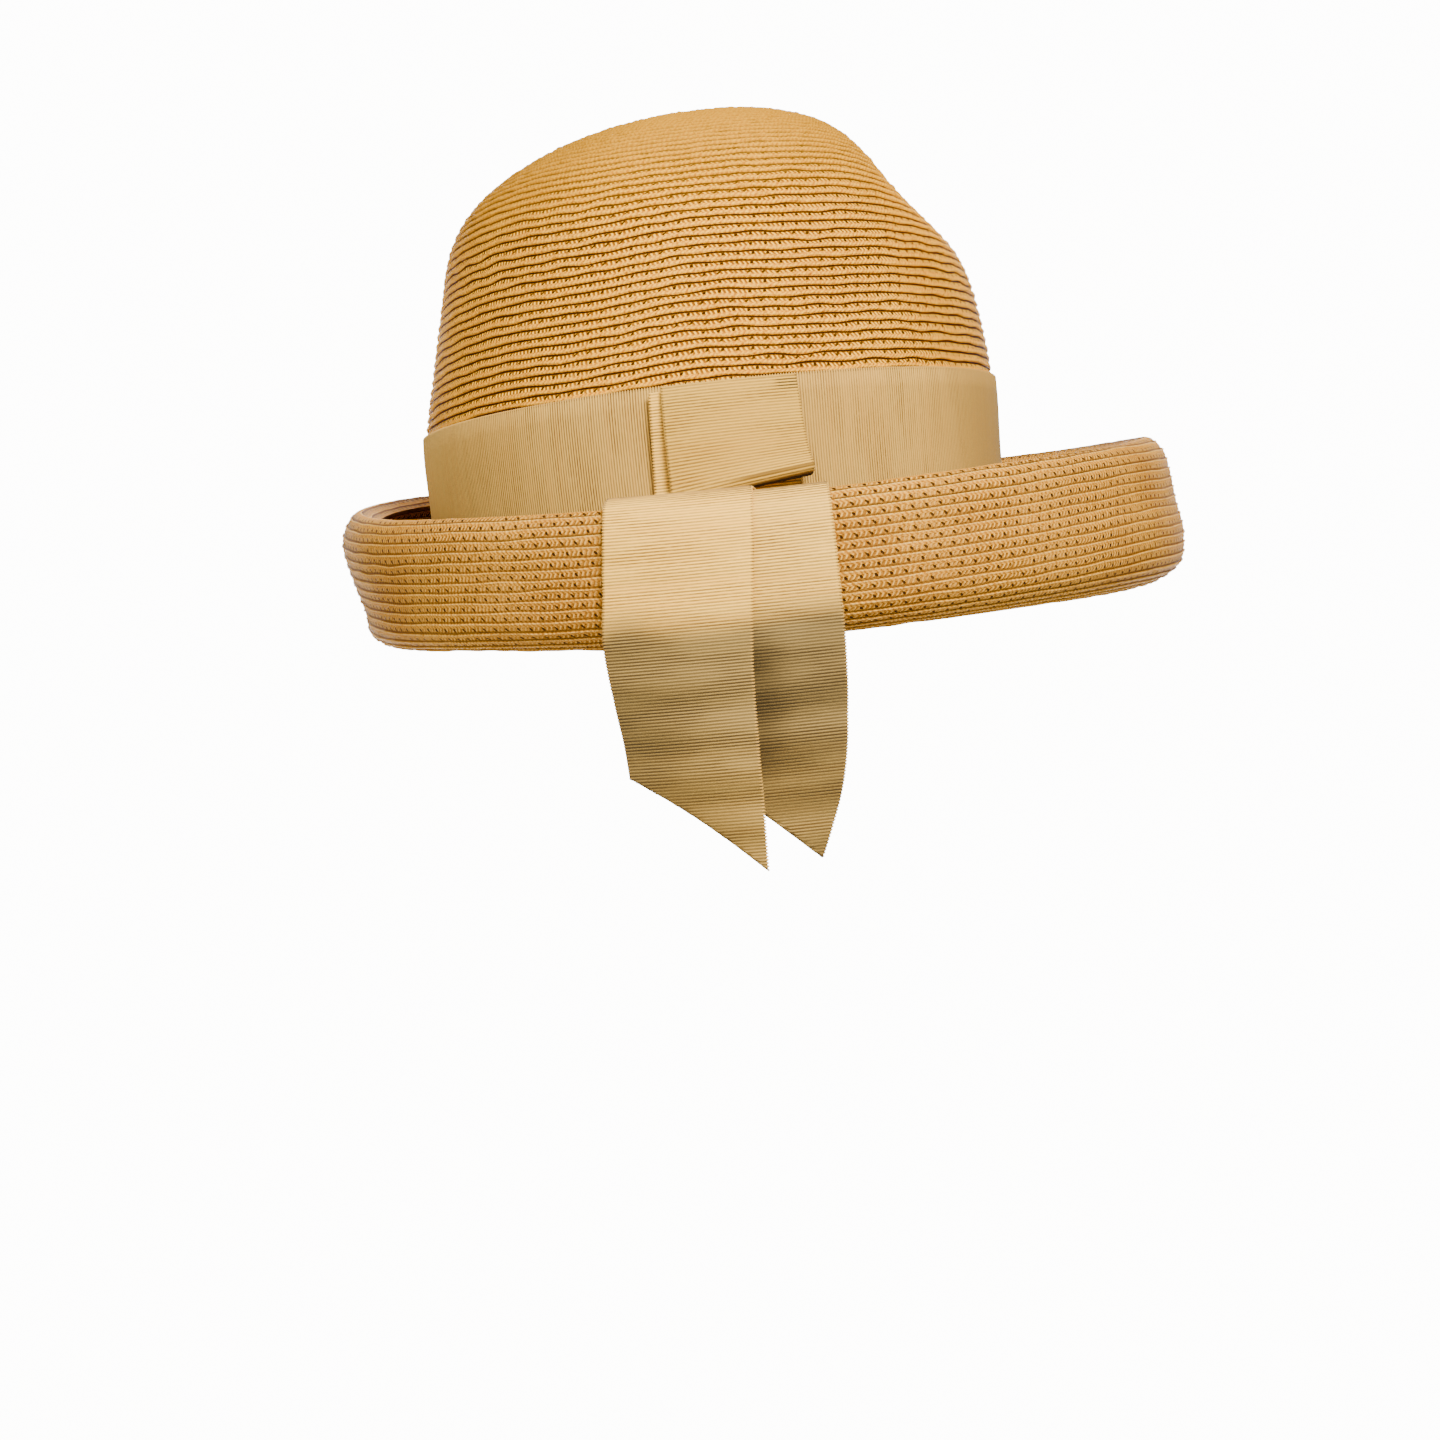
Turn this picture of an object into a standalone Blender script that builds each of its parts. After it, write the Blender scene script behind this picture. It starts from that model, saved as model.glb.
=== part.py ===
"""A straw cloche hat: a domed crown, a brim rolled up into a trough all the way round, a ribbon
band, and a flat ribbon loop over two ribbon tails that cross the brim and hang behind it.

Metres, +Z up. The origin is the centre of the head opening, level with the line where the
crown meets the brim. -Y is the back of the hat, where the ribbon is tied, and +X is the side
on the right when the hat is seen from behind.
"""

import functools
import math

import bmesh
import bpy
import numpy as np

# Crown, outside
CROWN_WIDTH = 0.1686
CROWN_LENGTH = 0.2040
CROWN_HEIGHT = 0.1255
CROWN_TOP_SHIFT = 0.0080

# Brim, measured on the middle of its straw
BRIM_REACH = 0.0550
BRIM_DROP = 0.0340
BRIM_LIP_HEIGHT = 0.0280
BRIM_CURL = 0.0100

# Ribbon
RIBBON_WIDTH = 0.0375
TAIL_HANG = 0.0934
LOOP_WIDTH = 0.0340
LOOP_DEPTH = 0.0018
LOOP_FLARE = 0.0045
LOOP_RISE = 0.0044

# Walls
STRAW_WALL = 0.0020
RIBBON_WALL = 0.0010

# Clearances between pieces that touch on the real hat
SEAM_GAP = 0.0003
RIBBON_GAP = 0.0003
LIP_GAP = 0.0006

# Facets
STEPS_ROUND = 48
SAMPLES_PER_SPAN = 2
STRIPS_ACROSS = 6

# Azimuth in degrees from +X towards +Y, how far from the back a tail may lie, and how many
# times that reach is halved to find where
BACK = 270.0
BACK_SPREAD = 60.0
HALVINGS = 24

# Outline of the crown from its foot to its tip
CROWN_OUTLINE = (
    # share of the height, share of the half width, share of CROWN_TOP_SHIFT
    (0.000, 0.988, 0.00),
    (0.140, 0.995, 0.00),
    (0.300, 1.000, 0.06),
    (0.450, 0.968, 0.21),
    (0.600, 0.923, 0.29),
    (0.730, 0.871, 0.28),
    (0.820, 0.786, 0.34),
    (0.890, 0.655, 0.50),
    (0.945, 0.485, 0.71),
    (0.985, 0.250, 0.91),
    (1.000, 0.000, 1.00),
)
ONTO_AXIS = (1.0, -1.0, 1.0)

# Soft dents of the crown, pressed towards a point on its axis at this share of its height
DENT_CENTRE = 0.33
CROWN_DENTS = (
    # azimuth, its spread, share of the height, its spread, depth as a share of the half width
    (2.0, 34.0, 0.81, 0.14, 0.225),
    (268.0, 13.0, 0.80, 0.18, 0.020),
)

# Section of the brim from the crown's foot, under the fold, up the wall and over the lip
BRIM_PROFILE = (
    # out: shares of the low reach, high reach and curl; height: shares of drop, lip and curl
    (0.00, 0.00, 0.00, 0.00, 0.00, 0.00),
    (0.00, 0.00, 0.00, -0.16, 0.00, 0.00),
    (0.02, 0.00, 0.00, -0.32, 0.00, 0.00),
    (0.18, 0.00, 0.00, -0.62, 0.00, 0.00),
    (0.44, 0.00, 0.00, -0.87, 0.00, 0.00),
    (0.72, 0.00, 0.00, -1.00, 0.00, 0.00),
    (0.95, 0.00, 0.00, -0.84, 0.00, 0.00),
    (1.00, 0.00, 0.00, -0.50, 0.00, 0.00),
    (0.40, 0.60, 0.00, -0.24, 0.50, -0.45),
    (0.00, 1.00, 0.00, 0.00, 1.00, -0.90),
    (0.00, 1.00, -0.14, 0.00, 1.00, -0.36),
    (0.00, 1.00, -0.50, 0.00, 1.00, 0.00),
    (0.00, 1.00, -1.00, 0.00, 1.00, -0.33),
)
WALL_CONTROL = 7
LIP_CONTROL = 11

# The same section every 45 degrees, from +X towards +Y
SECTION_COLUMNS = ("low_reach", "high_reach", "drop", "lip", "curl")
BRIM_SECTIONS = (
    # shares of BRIM_REACH, BRIM_REACH, BRIM_DROP, BRIM_LIP_HEIGHT and BRIM_CURL
    (0.96, 0.92, 0.77, 0.57, 1.00),
    (0.98, 0.93, 0.72, 0.74, 1.00),
    (0.97, 0.93, 0.66, 0.93, 1.00),
    (0.66, 0.70, 0.60, 1.00, 1.00),
    (0.43, 0.52, 0.57, 0.71, 1.00),
    (0.62, 0.64, 0.75, 0.33, 1.00),
    (0.80, 0.80, 0.96, 0.10, 1.00),
    (0.92, 0.89, 0.90, 0.26, 1.00),
)

# The tails under the loop, as shares of the ribbon's width: the heights of both ends, and the
# X of their middle at each
TAIL_TOP = 0.96
TAIL_FOOT = 0.06
TAIL_TOP_CENTRE = 0.10
TAIL_FOOT_CENTRE = 0.06

# The tails from the lip down: centre and width as shares of the ribbon's width, stand-off
# towards the back as another, and how far they turn about their inner edge, in degrees
HANG_ROWS = 10
HANG_COLUMNS = ("centre", "width", "stand_off", "turn")
HANGS = {
    "tail_left": (
        # share of the way from the wall to the cut, centre, width, stand-off, turn
        (0.00, -0.34, 1.00, 0.000, 0.0),
        (0.30, -0.41, 1.00, -0.010, 0.0),
        (0.60, -0.41, 0.95, -0.110, 6.0),
        (0.80, -0.40, 0.91, -0.220, 11.0),
        (1.00, -0.40, 0.88, -0.340, 15.0),
    ),
    "tail_right": (
        (0.00, 0.24, 1.00, 0.000, 0.0),
        (0.30, 0.24, 1.00, -0.030, -2.0),
        (0.60, 0.20, 0.98, -0.160, -7.0),
        (0.80, 0.13, 0.94, -0.270, -12.0),
        (1.00, 0.01, 0.86, -0.360, -18.0),
    ),
}
LIP_CENTRES = {"tail_left": -0.283, "tail_right": 0.237}

# Where each tail is cut, as shares of TAIL_HANG below the origin: left edge, right edge
CUTS = {"tail_left": (0.712, 1.000), "tail_right": (0.690, 0.993)}

# How steeply a tail enters and leaves the trough, as shares of BRIM_REACH, and how much
# further an upper tail stands off the lower one there, as a share of the layers' spacing
TROUGH_FALL = 0.36
TROUGH_RUN = 0.60
TROUGH_SPREAD = 0.40
TROUGH_ROWS = 7

# The loop, from its top down its front, round its fold and up behind
LOOP_COLUMNS = ("height", "depth", "flare", "rise")
LOOP_COURSE = (
    # shares of RIBBON_WIDTH, LOOP_DEPTH, LOOP_FLARE and LOOP_RISE
    (0.990, 0.00, 0.00, 0.00),
    (0.860, 0.40, 0.00, 0.00),
    (0.620, 0.95, 0.05, 0.10),
    (0.380, 1.00, 0.45, 0.50),
    (0.235, 1.00, 0.90, 0.90),
    (0.190, 0.96, 1.00, 1.00),
    (0.155, 0.75, 0.85, 1.00),
    (0.140, 0.50, 0.55, 1.00),
    (0.155, 0.25, 0.25, 1.00),
    (0.190, 0.04, 0.05, 1.00),
    (0.245, 0.00, 0.00, 0.90),
    (0.440, 0.00, 0.00, 0.40),
)
LOOP_CENTRE = 0.145


def catmull(before, start, end, after, share):
    """A point on the smooth curve from start to end, share of the way along."""
    slope_in = (end - before) / 2
    slope_out = (after - start) / 2
    square = share * share
    cube = square * share
    return (
        (2 * cube - 3 * square + 1) * start
        + (cube - 2 * square + share) * slope_in
        + (3 * square - 2 * cube) * end
        + (cube - square) * slope_out
    )


def path_point(controls, place, mirror=None):
    """A point on the smooth curve through the controls, place being 0 at the first of them.

    With mirror the curve meets its last point square on, as an outline meets its axis.
    """
    first = min(int(place), len(controls) - 2)
    start = np.array(controls[first], float)
    end = np.array(controls[first + 1], float)
    before = np.array(controls[first - 1], float) if first > 0 else 2 * start - end
    if first + 2 < len(controls):
        after = np.array(controls[first + 2], float)
    elif mirror:
        after = start * np.array(mirror)
    else:
        after = 2 * end - start
    return catmull(before, start, end, after, place - first)


def azimuths():
    return [360.0 * step / STEPS_ROUND for step in range(STEPS_ROUND)]


@functools.cache
def crown_outline():
    """The heights of the crown's rings, and its half width and shift at each, as shares."""
    count = (len(CROWN_OUTLINE) - 1) * SAMPLES_PER_SPAN + 1
    places = [sample / SAMPLES_PER_SPAN for sample in range(count)]
    return [path_point(CROWN_OUTLINE, place, ONTO_AXIS) for place in places]


def outline_at(height_share):
    """The crown's half width and shift in metres at a height, along its facets."""
    heights, widths, shifts = zip(*crown_outline())
    width_share = float(np.interp(height_share, heights, widths))
    return width_share, CROWN_TOP_SHIFT * float(np.interp(height_share, heights, shifts))


def ring_heights(bottom, top):
    """The heights of the crown's own rings between two heights, with those two at the ends."""
    rings = [float(row[0]) * CROWN_HEIGHT for row in crown_outline()]
    return [bottom, *[height for height in rings if bottom < height < top], top]


def crown_point(azimuth, height):
    """A point of the crown's outer face, with the dents pressed towards the crown's middle."""
    angle = math.radians(azimuth)
    height_share = height / CROWN_HEIGHT
    width_share, shift = outline_at(height_share)
    point = np.array(
        [
            CROWN_WIDTH / 2 * width_share * math.cos(angle) + shift,
            CROWN_LENGTH / 2 * width_share * math.sin(angle),
            height,
        ]
    )
    inward = np.array([0.0, 0.0, CROWN_HEIGHT * DENT_CENTRE]) - point
    inward /= np.linalg.norm(inward)
    for dent_azimuth, azimuth_spread, middle, height_spread, depth in CROWN_DENTS:
        turn = (azimuth - dent_azimuth + 180.0) % 360.0 - 180.0
        fall = (turn / azimuth_spread) ** 2 + ((height_share - middle) / height_spread) ** 2
        point = point + inward * depth * CROWN_WIDTH / 2 * width_share * math.exp(-fall)
    return point


def outward_at(azimuth):
    """The level direction square to the crown's foot line at an azimuth."""
    angle = math.radians(azimuth)
    outward = np.array([CROWN_LENGTH * math.cos(angle), CROWN_WIDTH * math.sin(angle), 0.0])
    return outward / np.linalg.norm(outward)


def crown_face_at(side, height, lift):
    """The point over the crown's back at a given X and height, lifted off it."""
    width_share, shift = outline_at(height / CROWN_HEIGHT)
    half_width = CROWN_WIDTH / 2 * width_share
    azimuth = 360.0 - math.degrees(math.acos((side - shift) / half_width))
    return crown_point(azimuth, height) + outward_at(azimuth) * lift


def section_values(azimuth):
    """The lengths of the brim's section at an azimuth, blended smoothly round the hat."""
    rows = len(BRIM_SECTIONS)
    place = (azimuth % 360.0) / 360.0 * rows
    row = int(place)
    around = [np.array(BRIM_SECTIONS[(row + k) % rows]) for k in (-1, 0, 1, 2)]
    shares = catmull(*around, place - row)
    lengths = (BRIM_REACH, BRIM_REACH, BRIM_DROP, BRIM_LIP_HEIGHT, BRIM_CURL)
    return dict(zip(SECTION_COLUMNS, shares * np.array(lengths)))


def brim_section(azimuth):
    """The brim's section at an azimuth: distances out from the crown's foot, and heights."""
    value = section_values(azimuth)
    controls = []
    for low, high, curl_out, drop, lip, curl_up in BRIM_PROFILE:
        out = low * value["low_reach"] + high * value["high_reach"] + curl_out * value["curl"]
        height = drop * value["drop"] + lip * value["lip"] + curl_up * value["curl"]
        controls.append((out - STRAW_WALL / 2, height - SEAM_GAP))
    return controls


def brim_count():
    return (len(BRIM_PROFILE) - 1) * SAMPLES_PER_SPAN + 1


def brim_point(azimuth, sample):
    """The middle of the brim's straw at one sample of its section."""
    out, height = path_point(brim_section(azimuth), sample / SAMPLES_PER_SPAN)
    up = np.array([0.0, 0.0, height])
    return crown_point(azimuth, 0.0) + outward_at(azimuth) * out + up


def brim_face_at(side, sample, lift):
    """The point over the brim's outer face at a given X, near the back, lifted off it."""
    low = BACK - BACK_SPREAD
    high = BACK + BACK_SPREAD
    for _ in range(HALVINGS):
        middle = (low + high) / 2
        if brim_point(middle, sample)[0] < side:
            low = middle
        else:
            high = middle
    step = BACK_SPREAD / STEPS_ROUND
    along = brim_point(low + step, sample) - brim_point(low - step, sample)
    up = brim_point(low, sample + 1) - brim_point(low, sample - 1)
    normal = np.cross(along, up)
    return brim_point(low, sample) + normal / np.linalg.norm(normal) * lift


def layer_lift(layer):
    """How far the middle of a ribbon layer lies off the crown: 0 is the band."""
    return RIBBON_GAP + RIBBON_WALL / 2 + layer * (RIBBON_WALL + RIBBON_GAP)


def brim_lift(layer):
    """How far the middle of a tail lies off the middle of the brim's straw."""
    return STRAW_WALL / 2 + layer_lift(layer) - RIBBON_GAP + LIP_GAP


def trough_point(side_top, side_lip, along, layer):
    """A point where a tail spans the trough, from the crown's foot to the top of the lip.

    Every tail follows the course of the lowest one, lifted square off it by its layer.
    """
    foot = TAIL_FOOT * RIBBON_WIDTH
    start = crown_face_at(side_top, foot, layer_lift(1))
    outward = crown_face_at(side_top, foot, 1.0) - crown_face_at(side_top, foot, 0.0)
    end = brim_face_at(side_lip, LIP_CONTROL * SAMPLES_PER_SPAN, brim_lift(0))
    fall = np.array([0.0, 0.0, -TROUGH_FALL * BRIM_REACH])
    run = np.array([0.0, -TROUGH_RUN * BRIM_REACH, 0.0])
    share = along * along
    square = share * share
    cube = square * share
    point = (
        (2 * cube - 3 * square + 1) * start
        + (cube - 2 * square + share) * fall
        + (3 * square - 2 * cube) * end
        + (cube - square) * run
    )
    course = (
        6 * (square - share) * (start - end)
        + (3 * square - 4 * share + 1) * fall
        + (3 * square - 2 * share) * run
    )
    normal = -course[2] * outward - course[1] * np.array([0.0, 0.0, 1.0])
    lift = layer_lift(layer) - layer_lift(1)
    lift *= 1 + TROUGH_SPREAD * 4 * along * (1 - along)
    return point + normal / np.linalg.norm(normal) * lift


def hang_values(name, share):
    """A tail's centre, width, stand-off and turn, share of the way from the wall to its cut."""
    rows = HANGS[name]
    shares = [row[0] for row in rows]
    values = [np.interp(share, shares, column) for column in list(zip(*rows))[1:]]
    return dict(zip(HANG_COLUMNS, values))


def hang_point(name, across, share, layer):
    """A point of a tail's free stretch, below the middle of the brim's wall."""
    value = hang_values(name, share)
    width = value["width"] * RIBBON_WIDTH
    side = value["centre"] * RIBBON_WIDTH + (across - 0.5) * width
    start = hang_values(name, 0.0)
    side_start = (start["centre"] + across - 0.5) * RIBBON_WIDTH
    top = brim_face_at(side_start, WALL_CONTROL * SAMPLES_PER_SPAN, brim_lift(layer - 1))
    left_cut, right_cut = CUTS[name]
    bottom = -TAIL_HANG * (left_cut + (right_cut - left_cut) * across)
    turn = math.sin(math.radians(value["turn"])) * across * RIBBON_WIDTH
    stand_off = value["stand_off"] * RIBBON_WIDTH
    return np.array([side, top[1] - stand_off - turn, top[2] + (bottom - top[2]) * share])


def tail_rows(name, layer):
    """The middle of a tail: under the loop, across the trough, over the lip, and hanging."""
    lip_sample = LIP_CONTROL * SAMPLES_PER_SPAN
    wall_sample = WALL_CONTROL * SAMPLES_PER_SPAN
    wall_centre = hang_values(name, 0.0)["centre"]
    shares = [i / STRIPS_ACROSS for i in range(STRIPS_ACROSS + 1)]
    rows = []
    foot = TAIL_FOOT * RIBBON_WIDTH
    top = TAIL_TOP * RIBBON_WIDTH
    for height in reversed(ring_heights(foot, top)):
        up = (height - foot) / (top - foot)
        centre = TAIL_FOOT_CENTRE + (TAIL_TOP_CENTRE - TAIL_FOOT_CENTRE) * up
        sides = [(centre + u - 0.5) * RIBBON_WIDTH for u in shares]
        rows.append([crown_face_at(x, height, layer_lift(layer)) for x in sides])
    for step in range(1, TROUGH_ROWS):
        row = []
        for u in shares:
            side_top = (TAIL_FOOT_CENTRE + u - 0.5) * RIBBON_WIDTH
            side_lip = (LIP_CENTRES[name] + u - 0.5) * RIBBON_WIDTH
            row.append(trough_point(side_top, side_lip, step / TROUGH_ROWS, layer))
        rows.append(row)
    for sample in range(lip_sample, wall_sample, -1):
        down = (lip_sample - sample) / (lip_sample - wall_sample)
        centre = LIP_CENTRES[name] + (wall_centre - LIP_CENTRES[name]) * down
        sides = [(centre + u - 0.5) * RIBBON_WIDTH for u in shares]
        rows.append([brim_face_at(x, sample, brim_lift(layer - 1)) for x in sides])
    for step in range(HANG_ROWS + 1):
        rows.append([hang_point(name, u, step / HANG_ROWS, layer) for u in shares])
    return rows


def loop_rows():
    """The middle of the loop, from its top down its front, round its fold and up behind."""
    rows = []
    for shares in LOOP_COURSE:
        value = dict(zip(LOOP_COLUMNS, shares))
        row = []
        for i in range(STRIPS_ACROSS + 1):
            across = i / STRIPS_ACROSS
            side = LOOP_CENTRE * RIBBON_WIDTH + (across - 0.5) * LOOP_WIDTH
            height = value["height"] * RIBBON_WIDTH + value["rise"] * LOOP_RISE * across
            lift = layer_lift(3) + value["depth"] * LOOP_DEPTH
            lift += value["flare"] * LOOP_FLARE * across**2
            row.append(crown_face_at(side, height, lift))
        rows.append(row)
    return rows


def material(name, colour, roughness):
    made = bpy.data.materials.new(name)
    made.use_nodes = True
    shader = made.node_tree.nodes["Principled BSDF"]
    shader.inputs["Base Color"].default_value = (*colour, 1.0)
    shader.inputs["Roughness"].default_value = roughness
    shader.inputs["Metallic"].default_value = 0.0
    return made


def sheet_object(name, rows, wall, offset, finish, closed=False, tip=None):
    """A sheet through rows of points, given a wall by Solidify.

    closed joins the ends of each row, and tip is a point that closes the last row like a dome.
    """
    mesh = bpy.data.meshes.new(name)
    shape = bmesh.new()
    grid = [[shape.verts.new(tuple(point)) for point in row] for row in rows]
    for lower, upper in zip(grid, grid[1:]):
        count = len(lower)
        for i in range(count if closed else count - 1):
            j = (i + 1) % count
            shape.faces.new((lower[i], lower[j], upper[j], upper[i]))
    if tip is not None:
        top = shape.verts.new(tuple(tip))
        for i, corner in enumerate(grid[-1]):
            shape.faces.new((corner, grid[-1][(i + 1) % len(grid[-1])], top))
    shape.normal_update()
    shape.to_mesh(mesh)
    shape.free()
    mesh.shade_smooth()
    mesh.materials.append(finish)
    made = bpy.data.objects.new(name, mesh)
    bpy.context.scene.collection.objects.link(made)
    solid = made.modifiers.new("Wall", "SOLIDIFY")
    solid.thickness = wall
    solid.offset = offset
    solid.use_even_offset = True
    return made


def make_crown(finish):
    heights = [float(row[0]) * CROWN_HEIGHT for row in crown_outline()]
    rows = [[crown_point(turn, height) for turn in azimuths()] for height in heights[:-1]]
    tip = crown_point(0.0, heights[-1])
    return sheet_object("crown", rows, STRAW_WALL, -1.0, finish, closed=True, tip=tip)


def make_brim(finish):
    rows = [[brim_point(turn, k) for turn in azimuths()] for k in range(brim_count())]
    return sheet_object("brim", rows, STRAW_WALL, 0.0, finish, closed=True)


def make_band(finish):
    """The band, with a row at each of the crown's own rings so that its wall runs level."""
    rows = []
    for height in ring_heights(RIBBON_GAP, RIBBON_WIDTH):
        lift = layer_lift(0)
        rows.append([crown_point(turn, height) + outward_at(turn) * lift for turn in azimuths()])
    return sheet_object("band", rows, RIBBON_WALL, 0.0, finish, closed=True)


def make_tail(name, layer, finish):
    return sheet_object(name, tail_rows(name, layer), RIBBON_WALL, 0.0, finish)


def make_loop(finish):
    return sheet_object("bow_loop", loop_rows(), RIBBON_WALL, 0.0, finish)


def clear_scene():
    for item in list(bpy.data.objects):
        bpy.data.objects.remove(item)


def main():
    clear_scene()
    straw = material("straw", (0.76, 0.50, 0.22), 0.60)
    grosgrain = material("grosgrain", (0.72, 0.58, 0.38), 0.75)
    make_crown(straw)
    make_brim(straw)
    make_band(grosgrain)
    make_tail("tail_right", 1, grosgrain)
    make_tail("tail_left", 2, grosgrain)
    make_loop(grosgrain)


main()
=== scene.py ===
"""The looks of the straw hat: sewn braid for the crown and the brim, ribbed ribbon for the rest.

Metres, +Z up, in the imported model's own frame: -Y is the back of the hat, where the ribbon is
tied, and +X is on the right when the hat is seen from behind.
"""

import math

import bpy
import numpy as np
from mathutils import Matrix, Vector


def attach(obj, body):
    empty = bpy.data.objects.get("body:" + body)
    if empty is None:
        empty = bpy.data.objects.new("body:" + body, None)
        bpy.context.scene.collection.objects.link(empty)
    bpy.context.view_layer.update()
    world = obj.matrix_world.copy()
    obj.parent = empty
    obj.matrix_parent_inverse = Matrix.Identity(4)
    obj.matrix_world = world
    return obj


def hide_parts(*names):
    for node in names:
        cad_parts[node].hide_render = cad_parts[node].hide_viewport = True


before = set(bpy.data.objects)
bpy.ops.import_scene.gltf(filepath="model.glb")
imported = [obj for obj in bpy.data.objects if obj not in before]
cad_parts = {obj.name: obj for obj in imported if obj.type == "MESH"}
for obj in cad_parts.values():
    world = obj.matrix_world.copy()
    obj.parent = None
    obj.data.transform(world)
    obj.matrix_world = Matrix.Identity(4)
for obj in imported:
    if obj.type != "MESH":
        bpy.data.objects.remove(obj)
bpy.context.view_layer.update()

# Camera.
IMAGE_SIZE = 1440
FOCAL_PIXELS = 3691.0
CAMERA_PLACE = (-0.0065, -1.100, -0.0536)
CAMERA_ROLL = math.radians(6.3)
SENSOR = 36.0


def make_camera():
    data = bpy.data.cameras.new("camera")
    data.sensor_width = SENSOR
    data.lens = FOCAL_PIXELS / IMAGE_SIZE * SENSOR
    made = bpy.data.objects.new("camera", data)
    right = Vector((math.cos(CAMERA_ROLL), 0.0, -math.sin(CAMERA_ROLL)))
    up = Vector((math.sin(CAMERA_ROLL), 0.0, math.cos(CAMERA_ROLL)))
    back = right.cross(up)
    turn = Matrix((right, up, back)).transposed().to_4x4()
    made.matrix_world = Matrix.Translation(CAMERA_PLACE) @ turn
    bpy.context.scene.collection.objects.link(made)
    bpy.context.scene.camera = made


make_camera()

# The hat's sizes.
CROWN_WIDTH = 0.1686
CROWN_LENGTH = 0.2040
CROWN_HEIGHT = 0.1255
CROWN_TOP_SHIFT = 0.0080
BRIM_REACH = 0.0550
BRIM_DROP = 0.0340
BRIM_LIP_HEIGHT = 0.0280
BRIM_CURL = 0.0100
RIBBON_WIDTH = 0.0375
TAIL_HANG = 0.0934
LOOP_WIDTH = 0.0340
LOOP_DEPTH = 0.0018
LOOP_FLARE = 0.0045
LOOP_RISE = 0.0044
STRAW_WALL = 0.0020
RIBBON_WALL = 0.0010
SEAM_GAP = 0.0003
RIBBON_GAP = 0.0003
LIP_GAP = 0.0006
BACK = 270.0
BACK_SPREAD = 60.0
HALVINGS = 20
OUTLINE_SAMPLES = 401
TINY = 1e-12
# degrees and places to either side of a point of the brim, for its normal
FACE_TURN = 1.0
FACE_PLACE = 0.3

# share of the height, share of the half width, share of CROWN_TOP_SHIFT
CROWN_OUTLINE = (
    (0.000, 0.988, 0.00),
    (0.140, 0.995, 0.00),
    (0.300, 1.000, 0.06),
    (0.450, 0.968, 0.21),
    (0.600, 0.923, 0.29),
    (0.730, 0.871, 0.28),
    (0.820, 0.786, 0.34),
    (0.890, 0.655, 0.50),
    (0.945, 0.485, 0.71),
    (0.985, 0.250, 0.91),
    (1.000, 0.000, 1.00),
)
ONTO_AXIS = (1.0, -1.0, 1.0)
DENT_CENTRE = 0.33
# azimuth, its spread, share of the height, its spread, depth as a share of the half width
CROWN_DENTS = (
    (2.0, 34.0, 0.81, 0.14, 0.225),
    (268.0, 13.0, 0.80, 0.18, 0.020),
)
# out: shares of the low reach, high reach and curl; height: shares of drop, lip and curl
BRIM_PROFILE = (
    (0.00, 0.00, 0.00, 0.00, 0.00, 0.00),
    (0.00, 0.00, 0.00, -0.16, 0.00, 0.00),
    (0.02, 0.00, 0.00, -0.32, 0.00, 0.00),
    (0.18, 0.00, 0.00, -0.62, 0.00, 0.00),
    (0.44, 0.00, 0.00, -0.87, 0.00, 0.00),
    (0.72, 0.00, 0.00, -1.00, 0.00, 0.00),
    (0.95, 0.00, 0.00, -0.84, 0.00, 0.00),
    (1.00, 0.00, 0.00, -0.50, 0.00, 0.00),
    (0.40, 0.60, 0.00, -0.24, 0.50, -0.45),
    (0.00, 1.00, 0.00, 0.00, 1.00, -0.90),
    (0.00, 1.00, -0.14, 0.00, 1.00, -0.36),
    (0.00, 1.00, -0.50, 0.00, 1.00, 0.00),
    (0.00, 1.00, -1.00, 0.00, 1.00, -0.33),
)
WALL_CONTROL = 7
LIP_CONTROL = 11
# every 45 degrees from +X: shares of BRIM_REACH, BRIM_REACH, BRIM_DROP, BRIM_LIP_HEIGHT, BRIM_CURL
BRIM_SECTIONS = (
    (0.96, 0.92, 0.77, 0.57, 1.00),
    (0.98, 0.93, 0.72, 0.74, 1.00),
    (0.97, 0.93, 0.66, 0.93, 1.00),
    (0.66, 0.70, 0.60, 1.00, 1.00),
    (0.43, 0.52, 0.57, 0.71, 1.00),
    (0.62, 0.64, 0.75, 0.33, 1.00),
    (0.80, 0.80, 0.96, 0.10, 1.00),
    (0.92, 0.89, 0.90, 0.26, 1.00),
)
TAIL_TOP = 0.96
TAIL_FOOT = 0.06
TAIL_TOP_CENTRE = 0.10
TAIL_FOOT_CENTRE = 0.06
HANGS = {
    "tail_left": (
        # share of the way from the wall to the cut, centre, width, stand-off, turn
        (0.00, -0.34, 1.00, 0.000, 0.0),
        (0.30, -0.41, 1.00, -0.010, 0.0),
        (0.60, -0.41, 0.95, -0.110, 6.0),
        (0.80, -0.40, 0.91, -0.220, 11.0),
        (1.00, -0.40, 0.88, -0.340, 15.0),
    ),
    "tail_right": (
        (0.00, 0.24, 1.00, 0.000, 0.0),
        (0.30, 0.24, 1.00, -0.030, -2.0),
        (0.60, 0.20, 0.98, -0.160, -7.0),
        (0.80, 0.13, 0.94, -0.270, -12.0),
        (1.00, 0.01, 0.86, -0.360, -18.0),
    ),
}
LIP_CENTRES = {"tail_left": -0.283, "tail_right": 0.237}
CUTS = {"tail_left": (0.712, 1.000), "tail_right": (0.690, 0.993)}
TROUGH_FALL = 0.36
TROUGH_RUN = 0.60
TROUGH_SPREAD = 0.40
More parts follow.
